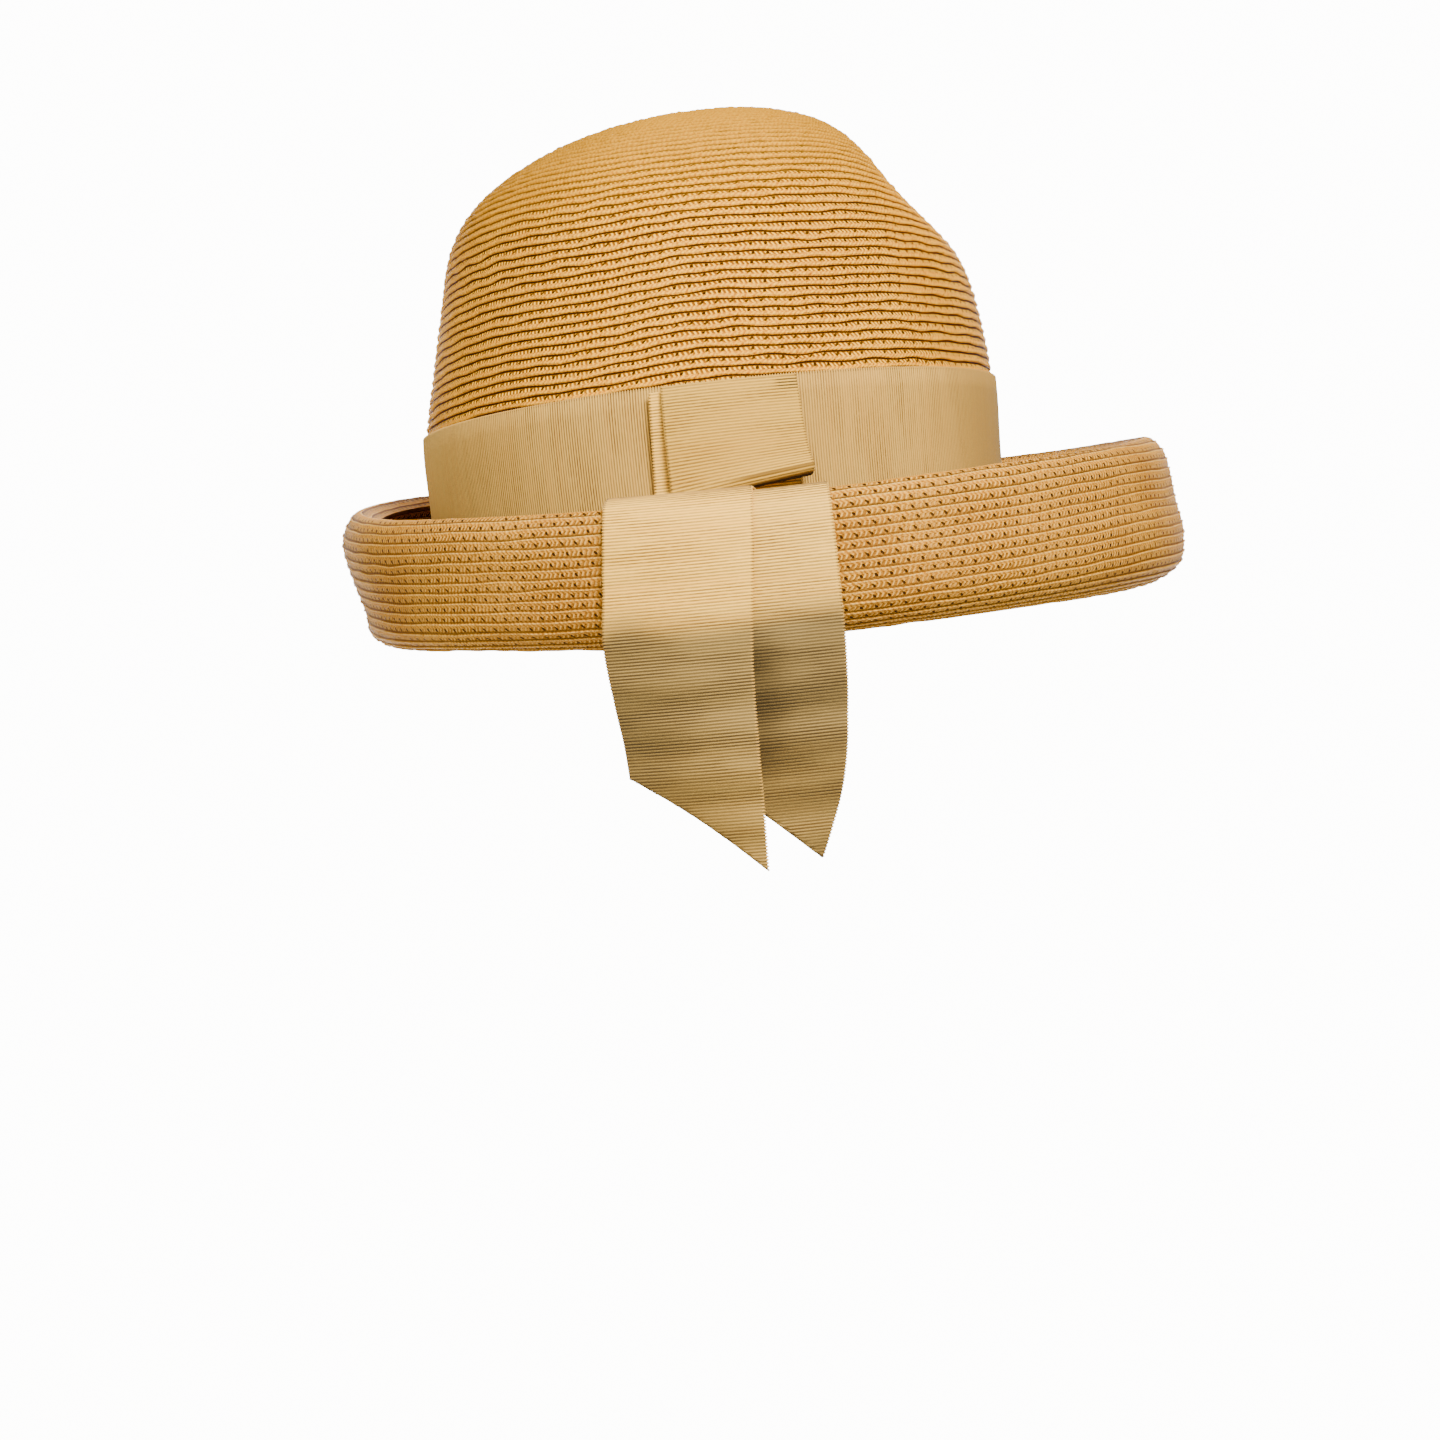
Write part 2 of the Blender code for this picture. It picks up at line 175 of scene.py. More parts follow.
# shares of RIBBON_WIDTH, LOOP_DEPTH, LOOP_FLARE and LOOP_RISE
LOOP_COURSE = (
    (0.990, 0.00, 0.00, 0.00),
    (0.860, 0.40, 0.00, 0.00),
    (0.620, 0.95, 0.05, 0.10),
    (0.380, 1.00, 0.45, 0.50),
    (0.235, 1.00, 0.90, 0.90),
    (0.190, 0.96, 1.00, 1.00),
    (0.155, 0.75, 0.85, 1.00),
    (0.140, 0.50, 0.55, 1.00),
    (0.155, 0.25, 0.25, 1.00),
    (0.190, 0.04, 0.05, 1.00),
    (0.245, 0.00, 0.00, 0.90),
    (0.440, 0.00, 0.00, 0.40),
)
LOOP_CENTRE = 0.145

# The braid and the ribs.
BRAID_PITCH = 0.00272
BRAID_STAND = 0.00045
CROWN_COLUMNS = 224
BRIM_COLUMNS = 340
RIB_PITCH = 0.00085
RIB_DEPTH = 0.00019
RIBBON_THICKNESS = 0.0005
SELVAGE_SCALLOP = 0.00055
# where a rib's crest lies between one rib's start and the next
RIB_CREST = 0.25
MILLIMETRES = 1000.0
BRAID_MM = BRAID_PITCH * MILLIMETRES
RIBBON_MM = RIBBON_WIDTH * MILLIMETRES


def path_weights(share):
    """How much each of four neighbouring points counts, share of the way along their middle span."""
    square = share * share
    cube = square * share
    before = (-cube + 2 * square - share) / 2
    start = (3 * cube - 5 * square + 2) / 2
    end = (-3 * cube + 4 * square + share) / 2
    after = (cube - square) / 2
    return before, start, end, after


def path_points(controls, places, mirror=None):
    """Points on the smooth curve through the controls, a place being 0 at the first of them."""
    rows = np.asarray(controls, float)
    first = 2 * rows[:1] - rows[1:2]
    last = rows[-2:-1] * np.array(mirror) if mirror else 2 * rows[-1:] - rows[-2:-1]
    rows = np.concatenate([first, rows, last])
    places = np.asarray(places, float)
    span = np.clip(places.astype(int), 0, len(rows) - 4)
    weights = path_weights(places - span)
    return sum(w[:, None] * rows[span + k] for k, w in enumerate(weights))


def unit(vectors):
    return vectors / np.maximum(np.linalg.norm(vectors, axis=-1, keepdims=True), TINY)


def arc_lengths(points):
    """How far along a line each of its points lies."""
    steps = np.linalg.norm(np.diff(points, axis=0), axis=1)
    return np.concatenate([[0], np.cumsum(steps)])


def outline_table():
    places = np.linspace(0, len(CROWN_OUTLINE) - 1, OUTLINE_SAMPLES)
    return path_points(CROWN_OUTLINE, places, ONTO_AXIS).T


OUTLINE = outline_table()


def crown_points(azimuth, height_share):
    """Points of the crown's outer face; the two arguments are arrays of one shape."""
    angle = np.radians(azimuth)
    width = np.interp(height_share, OUTLINE[0], OUTLINE[1])
    shift = CROWN_TOP_SHIFT * np.interp(height_share, OUTLINE[0], OUTLINE[2])
    x = CROWN_WIDTH / 2 * width * np.cos(angle) + shift
    y = CROWN_LENGTH / 2 * width * np.sin(angle)
    point = np.stack([x, y, height_share * CROWN_HEIGHT], axis=-1)
    inward = unit(np.array([0.0, 0.0, CROWN_HEIGHT * DENT_CENTRE]) - point)
    for dent_azimuth, azimuth_spread, middle, height_spread, depth in CROWN_DENTS:
        turn = (azimuth - dent_azimuth + 180.0) % 360.0 - 180.0
        fall = (turn / azimuth_spread) ** 2 + ((height_share - middle) / height_spread) ** 2
        push = depth * CROWN_WIDTH / 2 * width * np.exp(-fall)
        point = point + inward * push[..., None]
    return point


def crown_point(azimuth, height):
    return crown_points(np.array(float(azimuth)), np.array(height / CROWN_HEIGHT))


def outward_at(azimuth):
    """The level direction square to the crown's foot line, for one azimuth or many."""
    angle = np.radians(azimuth)
    out = [CROWN_LENGTH * np.cos(angle), CROWN_WIDTH * np.sin(angle), 0 * angle]
    return unit(np.stack(out, axis=-1))


def crown_face_at(side, height, lift):
    """The point over the crown's back at a given X and height, lifted off it."""
    share = height / CROWN_HEIGHT
    half_width = CROWN_WIDTH / 2 * float(np.interp(share, OUTLINE[0], OUTLINE[1]))
    shift = CROWN_TOP_SHIFT * float(np.interp(share, OUTLINE[0], OUTLINE[2]))
    azimuth = 360.0 - math.degrees(math.acos((side - shift) / half_width))
    return crown_point(azimuth, height) + outward_at(azimuth) * lift


def brim_section(azimuth):
    """The controls of the brim's section at an azimuth, as distances out and heights."""
    rows = len(BRIM_SECTIONS)
    place = (azimuth % 360.0) / 360.0 * rows
    row = int(place)
    around = np.array([BRIM_SECTIONS[(row + k) % rows] for k in (-1, 0, 1, 2)])
    shares = sum(w * r for w, r in zip(path_weights(place - row), around))
    lengths = np.array((BRIM_REACH, BRIM_REACH, BRIM_DROP, BRIM_LIP_HEIGHT, BRIM_CURL))
    low, high, drop, lip, curl = shares * lengths
    profile = np.array(BRIM_PROFILE)
    out = profile[:, 0] * low + profile[:, 1] * high + profile[:, 2] * curl
    height = profile[:, 3] * drop + profile[:, 4] * lip + profile[:, 5] * curl
    return np.stack([out - STRAW_WALL / 2, height - SEAM_GAP], axis=1)


def brim_points(azimuth, places):
    """Points of the brim's middle at one azimuth; places count the profile's controls."""
    flat = path_points(brim_section(azimuth), places)
    point = crown_point(azimuth, 0.0) + outward_at(azimuth) * flat[:, :1]
    point[:, 2] += flat[:, 1]
    return point


def brim_point(azimuth, place):
    return brim_points(azimuth, np.array([place]))[0]


def brim_face_at(side, place, lift):
    """The point over the brim's outer face at a given X, near the back, lifted off it."""
    low = BACK - BACK_SPREAD
    high = BACK + BACK_SPREAD
    for _ in range(HALVINGS):
        middle = (low + high) / 2
        if brim_point(middle, place)[0] < side:
            low = middle
        else:
            high = middle
    along = brim_point(low + FACE_TURN, place) - brim_point(low - FACE_TURN, place)
    up = brim_point(low, place + FACE_PLACE) - brim_point(low, place - FACE_PLACE)
    return brim_point(low, place) + unit(np.cross(along, up)) * lift


def layer_lift(layer):
    return RIBBON_GAP + RIBBON_WALL / 2 + layer * (RIBBON_WALL + RIBBON_GAP)


def brim_lift(layer):
    return STRAW_WALL / 2 + layer_lift(layer) - RIBBON_GAP + LIP_GAP


def trough_point(side_top, side_lip, along, layer):
    """A point where a tail spans the trough, from the crown's foot to the top of the lip."""
    foot = TAIL_FOOT * RIBBON_WIDTH
    start = crown_face_at(side_top, foot, layer_lift(1))
    outward = crown_face_at(side_top, foot, 1.0) - crown_face_at(side_top, foot, 0.0)
    end = brim_face_at(side_lip, LIP_CONTROL, brim_lift(0))
    fall = np.array([0.0, 0.0, -TROUGH_FALL * BRIM_REACH])
    run = np.array([0.0, -TROUGH_RUN * BRIM_REACH, 0.0])
    share = along * along
    square = share * share
    cube = square * share
    point = (
        (2 * cube - 3 * square + 1) * start
        + (cube - 2 * square + share) * fall
        + (3 * square - 2 * cube) * end
        + (cube - square) * run
    )
    course = (
        6 * (square - share) * (start - end)
        + (3 * square - 4 * share + 1) * fall
        + (3 * square - 2 * share) * run
    )
    normal = -course[2] * outward - course[1] * np.array([0.0, 0.0, 1.0])
    lift = layer_lift(layer) - layer_lift(1)
    lift *= 1 + TROUGH_SPREAD * 4 * along * (1 - along)
    return point + unit(normal) * lift


def hang_point(name, across, share, layer):
    """A point of a tail's free stretch, below the middle of the brim's wall."""
    rows = np.array(HANGS[name])
    centre, width, stand_off, turn = (np.interp(share, rows[:, 0], c) for c in rows[:, 1:].T)
    side = (centre + (across - 0.5) * width) * RIBBON_WIDTH
    side_start = (rows[0, 1] + across - 0.5) * RIBBON_WIDTH
    top = brim_face_at(side_start, WALL_CONTROL, brim_lift(layer - 1))
    left_cut, right_cut = CUTS[name]
    bottom = -TAIL_HANG * (left_cut + (right_cut - left_cut) * across)
    back = top[1] - (stand_off + math.sin(math.radians(turn)) * across) * RIBBON_WIDTH
    return np.array([side, back, top[2] + (bottom - top[2]) * share])


TAIL_STRIPS = 8
TAIL_TOP_ROWS = 8
TROUGH_ROWS = 9
LIP_ROWS = 10
HANG_ROWS = 12


def tail_grid(name, layer):
    """A coarse grid of a tail's middle: under the loop, across the trough, over the lip, down."""
    shares = np.linspace(0, 1, TAIL_STRIPS + 1)
    foot = TAIL_FOOT * RIBBON_WIDTH
    top = TAIL_TOP * RIBBON_WIDTH
    rows = []
    for height in np.linspace(top, foot, TAIL_TOP_ROWS):
        up = (height - foot) / (top - foot)
        centre = TAIL_FOOT_CENTRE + (TAIL_TOP_CENTRE - TAIL_FOOT_CENTRE) * up
        sides = (centre + shares - 0.5) * RIBBON_WIDTH
        rows.append([crown_face_at(x, height, layer_lift(layer)) for x in sides])
    for step in range(1, TROUGH_ROWS):
        row = []
        for u in shares:
            side_top = (TAIL_FOOT_CENTRE + u - 0.5) * RIBBON_WIDTH
            side_lip = (LIP_CENTRES[name] + u - 0.5) * RIBBON_WIDTH
            row.append(trough_point(side_top, side_lip, step / TROUGH_ROWS, layer))
        rows.append(row)
    for step in range(LIP_ROWS):
        down = step / LIP_ROWS
        place = LIP_CONTROL + (WALL_CONTROL - LIP_CONTROL) * down
        centre = LIP_CENTRES[name] + (HANGS[name][0][1] - LIP_CENTRES[name]) * down
        sides = (centre + shares - 0.5) * RIBBON_WIDTH
        rows.append([brim_face_at(x, place, brim_lift(layer - 1)) for x in sides])
    for step in range(HANG_ROWS + 1):
        rows.append([hang_point(name, u, step / HANG_ROWS, layer) for u in shares])
    return np.array(rows)


def loop_grid():
    rows = []
    for height, depth, flare, rise in LOOP_COURSE:
        row = []
        for across in np.linspace(0, 1, TAIL_STRIPS + 1):
            side = LOOP_CENTRE * RIBBON_WIDTH + (across - 0.5) * LOOP_WIDTH
            lift = layer_lift(3) + depth * LOOP_DEPTH + flare * LOOP_FLARE * across**2
            row.append(crown_face_at(side, height * RIBBON_WIDTH + rise * LOOP_RISE * across, lift))
        rows.append(row)
    return np.array(rows)


def grid_normals(grid, closed):
    """Unit normals of a grid of points: rows run along the first axis, columns round the second."""
    if closed:
        round_it = np.roll(grid, -1, axis=1) - np.roll(grid, 1, axis=1)
    else:
        round_it = np.gradient(grid, axis=1)
    return unit(np.cross(round_it, np.gradient(grid, axis=0)))


def mesh_object(name, points, faces, uvs, finish, smooth=True):
    """An object from points, quads or triangles as index rows, and one uv pair for each corner."""
    mesh = bpy.data.meshes.new(name)
    sizes = np.array([len(f) for f in faces])
    corners = np.concatenate([np.asarray(f) for f in faces]).astype(np.int32)
    mesh.vertices.add(len(points))
    mesh.vertices.foreach_set("co", np.asarray(points, np.float32).ravel())
    mesh.loops.add(len(corners))
    mesh.loops.foreach_set("vertex_index", corners)
    mesh.polygons.add(len(sizes))
    starts = np.concatenate([[0], np.cumsum(sizes)[:-1]]).astype(np.int32)
    mesh.polygons.foreach_set("loop_start", starts)
    mesh.polygons.foreach_set("loop_total", sizes.astype(np.int32))
    layer = mesh.uv_layers.new(name="UVMap")
    layer.data.foreach_set("uv", np.asarray(uvs, np.float32).ravel())
    mesh.update()
    mesh.validate()
    if smooth:
        mesh.shade_smooth()
    mesh.materials.append(finish)
    made = bpy.data.objects.new(name, mesh)
    bpy.context.scene.collection.objects.link(made)
    return made


def strip_faces(rows, columns, closed, offset, flip):
    """Quads of a grid whose points start at offset."""
    last = columns if closed else columns - 1
    i, j = np.meshgrid(np.arange(rows - 1), np.arange(last), indexing="ij")
    k = (j + 1) % columns
    near = i * columns
    far = near + columns
    quads = np.stack([near + j, near + k, far + k, far + j], -1).reshape(-1, 4) + offset
    return quads[:, ::-1] if flip else quads


def strip_uvs(u, v, closed, flip):
    """The uv pairs of strip_faces' corners. u has a column more than the grid where it is closed."""
    count = u.shape[1] - 1
    corners = [(0, 0), (0, 1), (1, 1), (1, 0)]
    if flip:
        corners = corners[::-1]
    pairs = []
    for down, along in corners:
        rows = slice(down, u.shape[0] - 1 + down)
        columns = slice(along, count + along)
        pairs.append(np.stack([u[rows, columns], v[rows, columns]], -1))
    return np.stack(pairs, axis=2).reshape(-1, 2)


# the least share that any wave has in the noise
NOISE_LEAST = 0.3


def periodic_noise(rng, rows, columns, low, high):
    """Smooth noise round a closed ring, one row for each ring, with a spread of about one."""
    spectrum = np.zeros((rows, columns // 2 + 1), complex)
    high = min(high, columns // 2)
    count = high - low
    phase = rng.uniform(0, 2 * math.pi, (rows, count))
    spectrum[:, low:high] = np.exp(1j * phase) * rng.uniform(NOISE_LEAST, 1.0, (rows, count))
    noise = np.fft.irfft(spectrum, columns, axis=1)
    return noise / noise.std()


class Nodes:
    """Adds nodes to a tree and joins them up."""

    def __init__(self, tree):
        self.tree = tree

    def put(self, socket, value):
        if isinstance(value, (int, float)):
            socket.default_value = value
        elif isinstance(value, tuple):
            socket.default_value = value if len(value) == len(socket.default_value) else (*value, 1.0)
        else:
            self.tree.links.new(value, socket)

    def math(self, operation, *values):
        node = self.tree.nodes.new("ShaderNodeMath")
        node.operation = operation
        for socket, value in zip(node.inputs, values):
            self.put(socket, value)
        return node.outputs[0]

    def add(self, a, b):
        return self.math("ADD", a, b)

    def times(self, a, b):
        return self.math("MULTIPLY", a, b)

    def ramp(self, value, low, high, to_low=0.0, to_high=1.0):
        node = self.tree.nodes.new("ShaderNodeMapRange")
        node.interpolation_type = "SMOOTHSTEP"
        for socket, item in zip(node.inputs, (value, low, high, to_low, to_high)):
            self.put(socket, item)
        return node.outputs[0]

    def noise(self, place, scale, detail):
        node = self.tree.nodes.new("ShaderNodeTexNoise")
        self.put(node.inputs["Vector"], place)
        node.inputs["Scale"].default_value = scale
        node.inputs["Detail"].default_value = detail
        return node.outputs["Fac"]

    def combine(self, x, y, z=0.0):
        node = self.tree.nodes.new("ShaderNodeCombineXYZ")
        for socket, value in zip(node.inputs, (x, y, z)):
            self.put(socket, value)
        return node.outputs[0]

    def parts(self, vector):
        node = self.tree.nodes.new("ShaderNodeSeparateXYZ")
        self.tree.links.new(vector, node.inputs[0])
        return node.outputs[0], node.outputs[1], node.outputs[2]

    def sine(self, turns):
        return self.math("SINE", self.times(turns, 2 * math.pi))

    def wave(self, turns):
        """A sine wave between 0 and 1."""
        return self.add(self.times(self.sine(turns), 0.5), 0.5)

    def uv(self):
        node = self.tree.nodes.new("ShaderNodeUVMap")
        node.uv_map = "UVMap"
        return self.parts(node.outputs[0])[:2]

    def place(self):
        return self.tree.nodes.new("ShaderNodeTexCoord").outputs["Object"]

    def mix(self, share, first, second, blend="MIX"):
        node = self.tree.nodes.new("ShaderNodeMix")
        node.data_type = "RGBA"
        node.blend_type = blend
        self.put(node.inputs[0], share)
        self.put(node.inputs[6], first)
        self.put(node.inputs[7], second)
        return node.outputs[2]


class Finish(Nodes):
    """A material's tree, with its shader and the colour so far."""

    def __init__(self, name, roughness, specular):
        self.material = bpy.data.materials.new(name)
        self.material.use_nodes = True
        super().__init__(self.material.node_tree)
        self.shader = self.tree.nodes["Principled BSDF"]
        self.shader.inputs["Roughness"].default_value = roughness
        self.shader.inputs["Specular IOR Level"].default_value = specular
        self.colour = None

    def over(self, share, strength, colour):
        """Lays a colour over what is there so far."""
        self.colour = self.mix(self.times(share, strength), self.colour, colour)

    def join(self, tone, bump, distance):
        colour = self.mix(1.0, self.colour, tone, "MULTIPLY")
        self.put(self.shader.inputs["Base Color"], colour)
        node = self.tree.nodes.new("ShaderNodeBump")
        node.inputs["Strength"].default_value = 1.0
        node.inputs["Distance"].default_value = distance
        self.put(node.inputs["Height"], bump)
        self.tree.links.new(node.outputs[0], self.shader.inputs["Normal"])
        return self.material


STRAW_LIGHT = (0.92, 0.40, 0.014)
STRAW_MIDDLE = (0.56, 0.20, 0.004)
STRAW_DARK = (0.13, 0.042, 0.002)
STRAW_AGED = (0.46, 0.145, 0.004)
STRAW_HIGHLIGHT = (1.0, 0.58, 0.060)
STRAW_TIP_SHADE = (0.36, 0.165, 0.004)
SHADOW_BROWN = (0.030, 0.008, 0.001)
PLAIT_PITCH = 1.45
BEAD_PITCH = 1.40
HOLE_PITCH = 4.15
HOLE_LENGTH = 0.38
HOLE_HEIGHT = 0.44
HOLE_RISE = 0.62
# heights between which the crown's straw is painted in shade, darker towards its top
TIP_SHADE_RAMP = (0.080, 0.120)
# Pairs are the two values that a ramp runs between, and two more are its own first and last.
# Densities are counted in a metre.
STRAW_ROUGHNESS = 0.66
STRAW_GLOSS = 0.03
STRAW_BUMP = 0.00026
WANDER_DENSITY = 420.0
PLAIT_WANDER = 0.9
PLAIT_SLANT = 1.7
PLAIT_STRAND = (0.10, 0.90)
BEAD_WANDER = 0.4
BEAD_SLANT = 0.9
BEAD_START = (0.36, 0.48)
BEAD_END = (0.86, 0.74)
BEAD_GAP = (0.15, -0.55)
BEAD_HIGHLIGHT = (0.10, 0.85)
FIBRE_ALONG = 0.5
FIBRE_ACROSS = 9.0
FIBRE_DARK = (0.50, 0.76)
FIBRE_DARK_SHARE = 0.65
FIBRE_LIGHT = (0.48, 0.25)
FIBRE_LIGHT_SHARE = 0.55
PATCH_DENSITY = 28.0
PATCH_AGED = (0.42, 0.68)
PATCH_SHARE = 0.35
SPECKLE_DENSITY = 1500.0
SPECKLE_DARK = (0.50, 0.75)
SPECKLE_SHARE = 0.50
# the holes' offset from row to row and what varies it, their lean, rim and darkness
HOLE_STEP = 0.377
HOLE_JITTER = 0.8
HOLE_JITTER_STEP = 1.7
HOLE_LEAN = -0.55
HOLE_RIM = (1.9, 0.5)
HOLE_DARK = 0.95
HOLE_CHANCE = 0.5
HOLE_CHANCE_SPREAD = 0.06
HOLE_SEEDS = (3.7, 5.3)
# shares of a row over which the groove's painted shadow and the edge's painted highlight run
GROOVE_START = (0.72, 0.86)
GROOVE_END = (0.04, 0.0)
EDGE_START = (0.02, 0.07)
EDGE_FALL = 0.45
EDGE_DENSITY = 0.9
EDGE_BROKEN = (0.34, 0.60)
EDGE_NOTCH = (-0.9, 0.3, 0.55, 1.0)
# how far each part of the pattern stands out in the fine relief
PLAIT_RELIEF = 0.4
FIBRE_RELIEF = 0.6
BEAD_RELIEF = 0.5
HOLE_RELIEF = -1.6
SPECKLE_RELIEF = 0.25
# how many holes there are, how wide the painted highlight on the edge is, and how strong each other
# part is, with tip the painted shade over the crown's top
CROWN_LOOK = {
    "holes": 0.22,
    "edge": 0.65,
    "edge_width": 0.34,
    "groove": 0.98,
    "beads": 0.80,
    "tone": (1.0, 0.98, 0.72),
    "tip": 0.8,
}
# the brim's tone is darker than the crown's, as painted shade on the same straw
BRIM_LOOK = {
    "holes": 0.23,
    "edge": 1.0,
    "edge_width": 0.20,
    "groove": 0.66,
    "beads": 0.38,
    "tone": (0.72, 0.77, 2.05),
}


def straw_material(name, look):
    """Plaited straw: u is millimetres along a row and v counts rows from their standing edge."""
    n = Finish(name, STRAW_ROUGHNESS, STRAW_GLOSS)
    along, rows = n.uv()
    row = n.math("FLOOR", rows)
    up = n.math("SUBTRACT", rows, row)
    place = n.place()
    # slanted strands of the plait
    off_middle = n.math("ABSOLUTE", n.math("SUBTRACT", up, 0.5))
    wander = n.times(n.noise(place, WANDER_DENSITY, 1.0), PLAIT_WANDER)
    turns = n.add(n.times(along, 1 / PLAIT_PITCH), n.times(off_middle, PLAIT_SLANT))
    plait = n.wave(n.add(turns, wander))
    # small beads in a row's far part, with a painted highlight on their tops and painted shade in the
    # gaps between them
    bead_turns = n.add(n.times(along, 1 / BEAD_PITCH), n.times(up, BEAD_SLANT))
    bead = n.sine(n.add(bead_turns, n.times(wander, BEAD_WANDER)))
    beads = n.times(n.ramp(up, *BEAD_START), n.ramp(up, *BEAD_END))
    bead_gap = n.times(n.ramp(bead, *BEAD_GAP), beads)
    bead_highlight = n.times(n.ramp(bead, *BEAD_HIGHLIGHT), beads)
    # thin fibres along the strands, and patches and speckles
    fibre_place = n.combine(n.times(along, FIBRE_ALONG), n.times(rows, FIBRE_ACROSS), row)
    fibre = n.noise(fibre_place, 1.0, 3.0)
    patch = n.noise(place, PATCH_DENSITY, 3.0)
    speckle = n.noise(place, SPECKLE_DENSITY, 2.0)
    # small holes where the plait opens
    jitter = n.times(n.noise(n.combine(row, 0.5), HOLE_JITTER_STEP, 0.0), HOLE_JITTER)
    shift = n.add(n.times(row, HOLE_STEP), jitter)
    cell = n.add(n.times(along, 1 / HOLE_PITCH), shift)
    number = n.math("FLOOR", cell)
    across = n.times(n.math("SUBTRACT", n.math("SUBTRACT", cell, number), 0.5), HOLE_PITCH)
    rise = n.times(n.math("SUBTRACT", up, HOLE_RISE), BRAID_MM)
    lean = n.add(across, n.times(rise, HOLE_LEAN))
    wide = n.math("POWER", n.times(lean, 1 / HOLE_LENGTH), 2.0)
    far = n.add(wide, n.math("POWER", n.times(rise, 1 / HOLE_HEIGHT), 2.0))
    seeds = n.combine(n.times(number, HOLE_SEEDS[0]), n.times(row, HOLE_SEEDS[1]))
    least = HOLE_CHANCE - look["holes"]
    kept = n.ramp(n.noise(seeds, 1.0, 0.0), least, least + HOLE_CHANCE_SPREAD)
    hole = n.times(n.ramp(far, *HOLE_RIM), kept)
    # painted shadow in the groove where a row goes under the next, and a painted highlight on the
    # edge that stands over it
    groove = n.math("MINIMUM", n.add(n.ramp(up, *GROOVE_START), n.ramp(up, *GROOVE_END)), 1.0)
    width = look["edge_width"]
    edge = n.times(n.ramp(up, *EDGE_START), n.ramp(up, width, width * EDGE_FALL))
    breaks = n.noise(n.combine(n.times(along, EDGE_DENSITY), row), 1.0, 2.0)
    edge = n.times(edge, n.ramp(breaks, *EDGE_BROKEN))
    edge = n.times(edge, n.ramp(bead, *EDGE_NOTCH))
    n.colour = n.mix(n.ramp(plait, *PLAIT_STRAND), STRAW_MIDDLE, STRAW_LIGHT)
    n.over(n.ramp(fibre, *FIBRE_DARK), FIBRE_DARK_SHARE, STRAW_DARK)
    n.over(n.ramp(fibre, *FIBRE_LIGHT), FIBRE_LIGHT_SHARE, STRAW_LIGHT)
    n.over(n.ramp(patch, *PATCH_AGED), PATCH_SHARE, STRAW_AGED)
    n.over(bead_gap, look["beads"], STRAW_DARK)
    n.over(bead_highlight, look["beads"], STRAW_HIGHLIGHT)
    n.over(edge, look["edge"], STRAW_HIGHLIGHT)
    n.over(n.ramp(speckle, *SPECKLE_DARK), SPECKLE_SHARE, STRAW_DARK)
    n.over(groove, look["groove"], SHADOW_BROWN)
    n.over(hole, HOLE_DARK, SHADOW_BROWN)
    # painted shade over the crown's top
    if "tip" in look:
        n.over(n.ramp(n.parts(place)[2], *TIP_SHADE_RAMP), look["tip"], STRAW_TIP_SHADE)
    bump = n.add(n.times(plait, PLAIT_RELIEF), n.times(fibre, FIBRE_RELIEF))
    bump = n.add(bump, n.times(n.add(bead_highlight, n.times(bead_gap, -1.0)), BEAD_RELIEF))
    bump = n.add(bump, n.times(hole, HOLE_RELIEF))
    bump = n.add(bump, n.times(speckle, SPECKLE_RELIEF))
    return n.join(look["tone"], bump, STRAW_BUMP)


RIBBON_LIGHT = (0.86, 0.49, 0.098)
RIBBON_MIDDLE = (0.84, 0.44, 0.085)
RIBBON_SHADE = (0.22, 0.105, 0.018)
RIBBON_AGED = (0.74, 0.37, 0.065)
RIBBON_LOW_SHADE = (0.235, 0.152, 0.060)
RIBBON_DEEP_SHADE = (0.040, 0.024, 0.010)
RIBBON_ROUGHNESS = 0.66
RIBBON_GLOSS = 0.10
RIBBON_BUMP = 0.00012
RIBBON_SHEEN = 0.06
RIBBON_SHEEN_ROUGHNESS = 0.45
THREADS_ACROSS = 5.5
WEAVE_SIZE = (0.45, 4.0)
WEAVE_RAMP = (0.42, 0.75)
WEAVE_SHARE = 0.45
# ribs of one tone each: a fixed place across the noise, and its scale along them
EACH_PLACE = 0.3
EACH_STEP = 0.83
EACH_RAMP = (0.50, 0.72)
EACH_SHARE = 0.35
STAIN_DENSITY = 22.0
STAIN_RAMP = (0.45, 0.72)
STAIN_SHARE = 0.30
# how strongly the ribs' valleys are painted in shade, varying in patches
RIB_SHADE_SIZE = (0.035, 0.13)
RIB_SHADE_RAMP = (0.38, 0.62, 0.66, 1.0)
RIB_SHADE = (0.80, 0.25)
# distances to the right between which the band is painted in shade
SIDE_SHADE_RAMP = (0.056, 0.080)
# heights between which a tail turns to its lower part, painted in shade, and where that painted shade
# lightens again near its end
LOW_SHADE_RAMP = (-0.021, -0.034)
LOW_SHADE_END = (-0.050, -0.080, 1.0, 0.84)
LOW_DENSITY = 30.0
LOW_WANDER = 0.012
LOW_RIB_SHADE = (0.85, 0.30)
LOW_SHADE_PATCHES = (0.45, 0.70)
LOW_SHADE_PATCH_SHARE = 0.25
# where a painted shadow falls on a tail beside the other one's edge: millimetres past the edge, and
# heights
BESIDE_WIDTH = 10.0
BESIDE_TOP = (-0.030, -0.040)
BESIDE_END = (-0.080, -0.064)
BESIDE_SHADOW_SHARE = 0.45
# ribs between which a tail lies deep in the trough, where it is painted in shade
TROUGH_START = (34.0, 38.0)
TROUGH_END = (86.0, 78.0)
TROUGH_SHADE_SHARE = 0.55
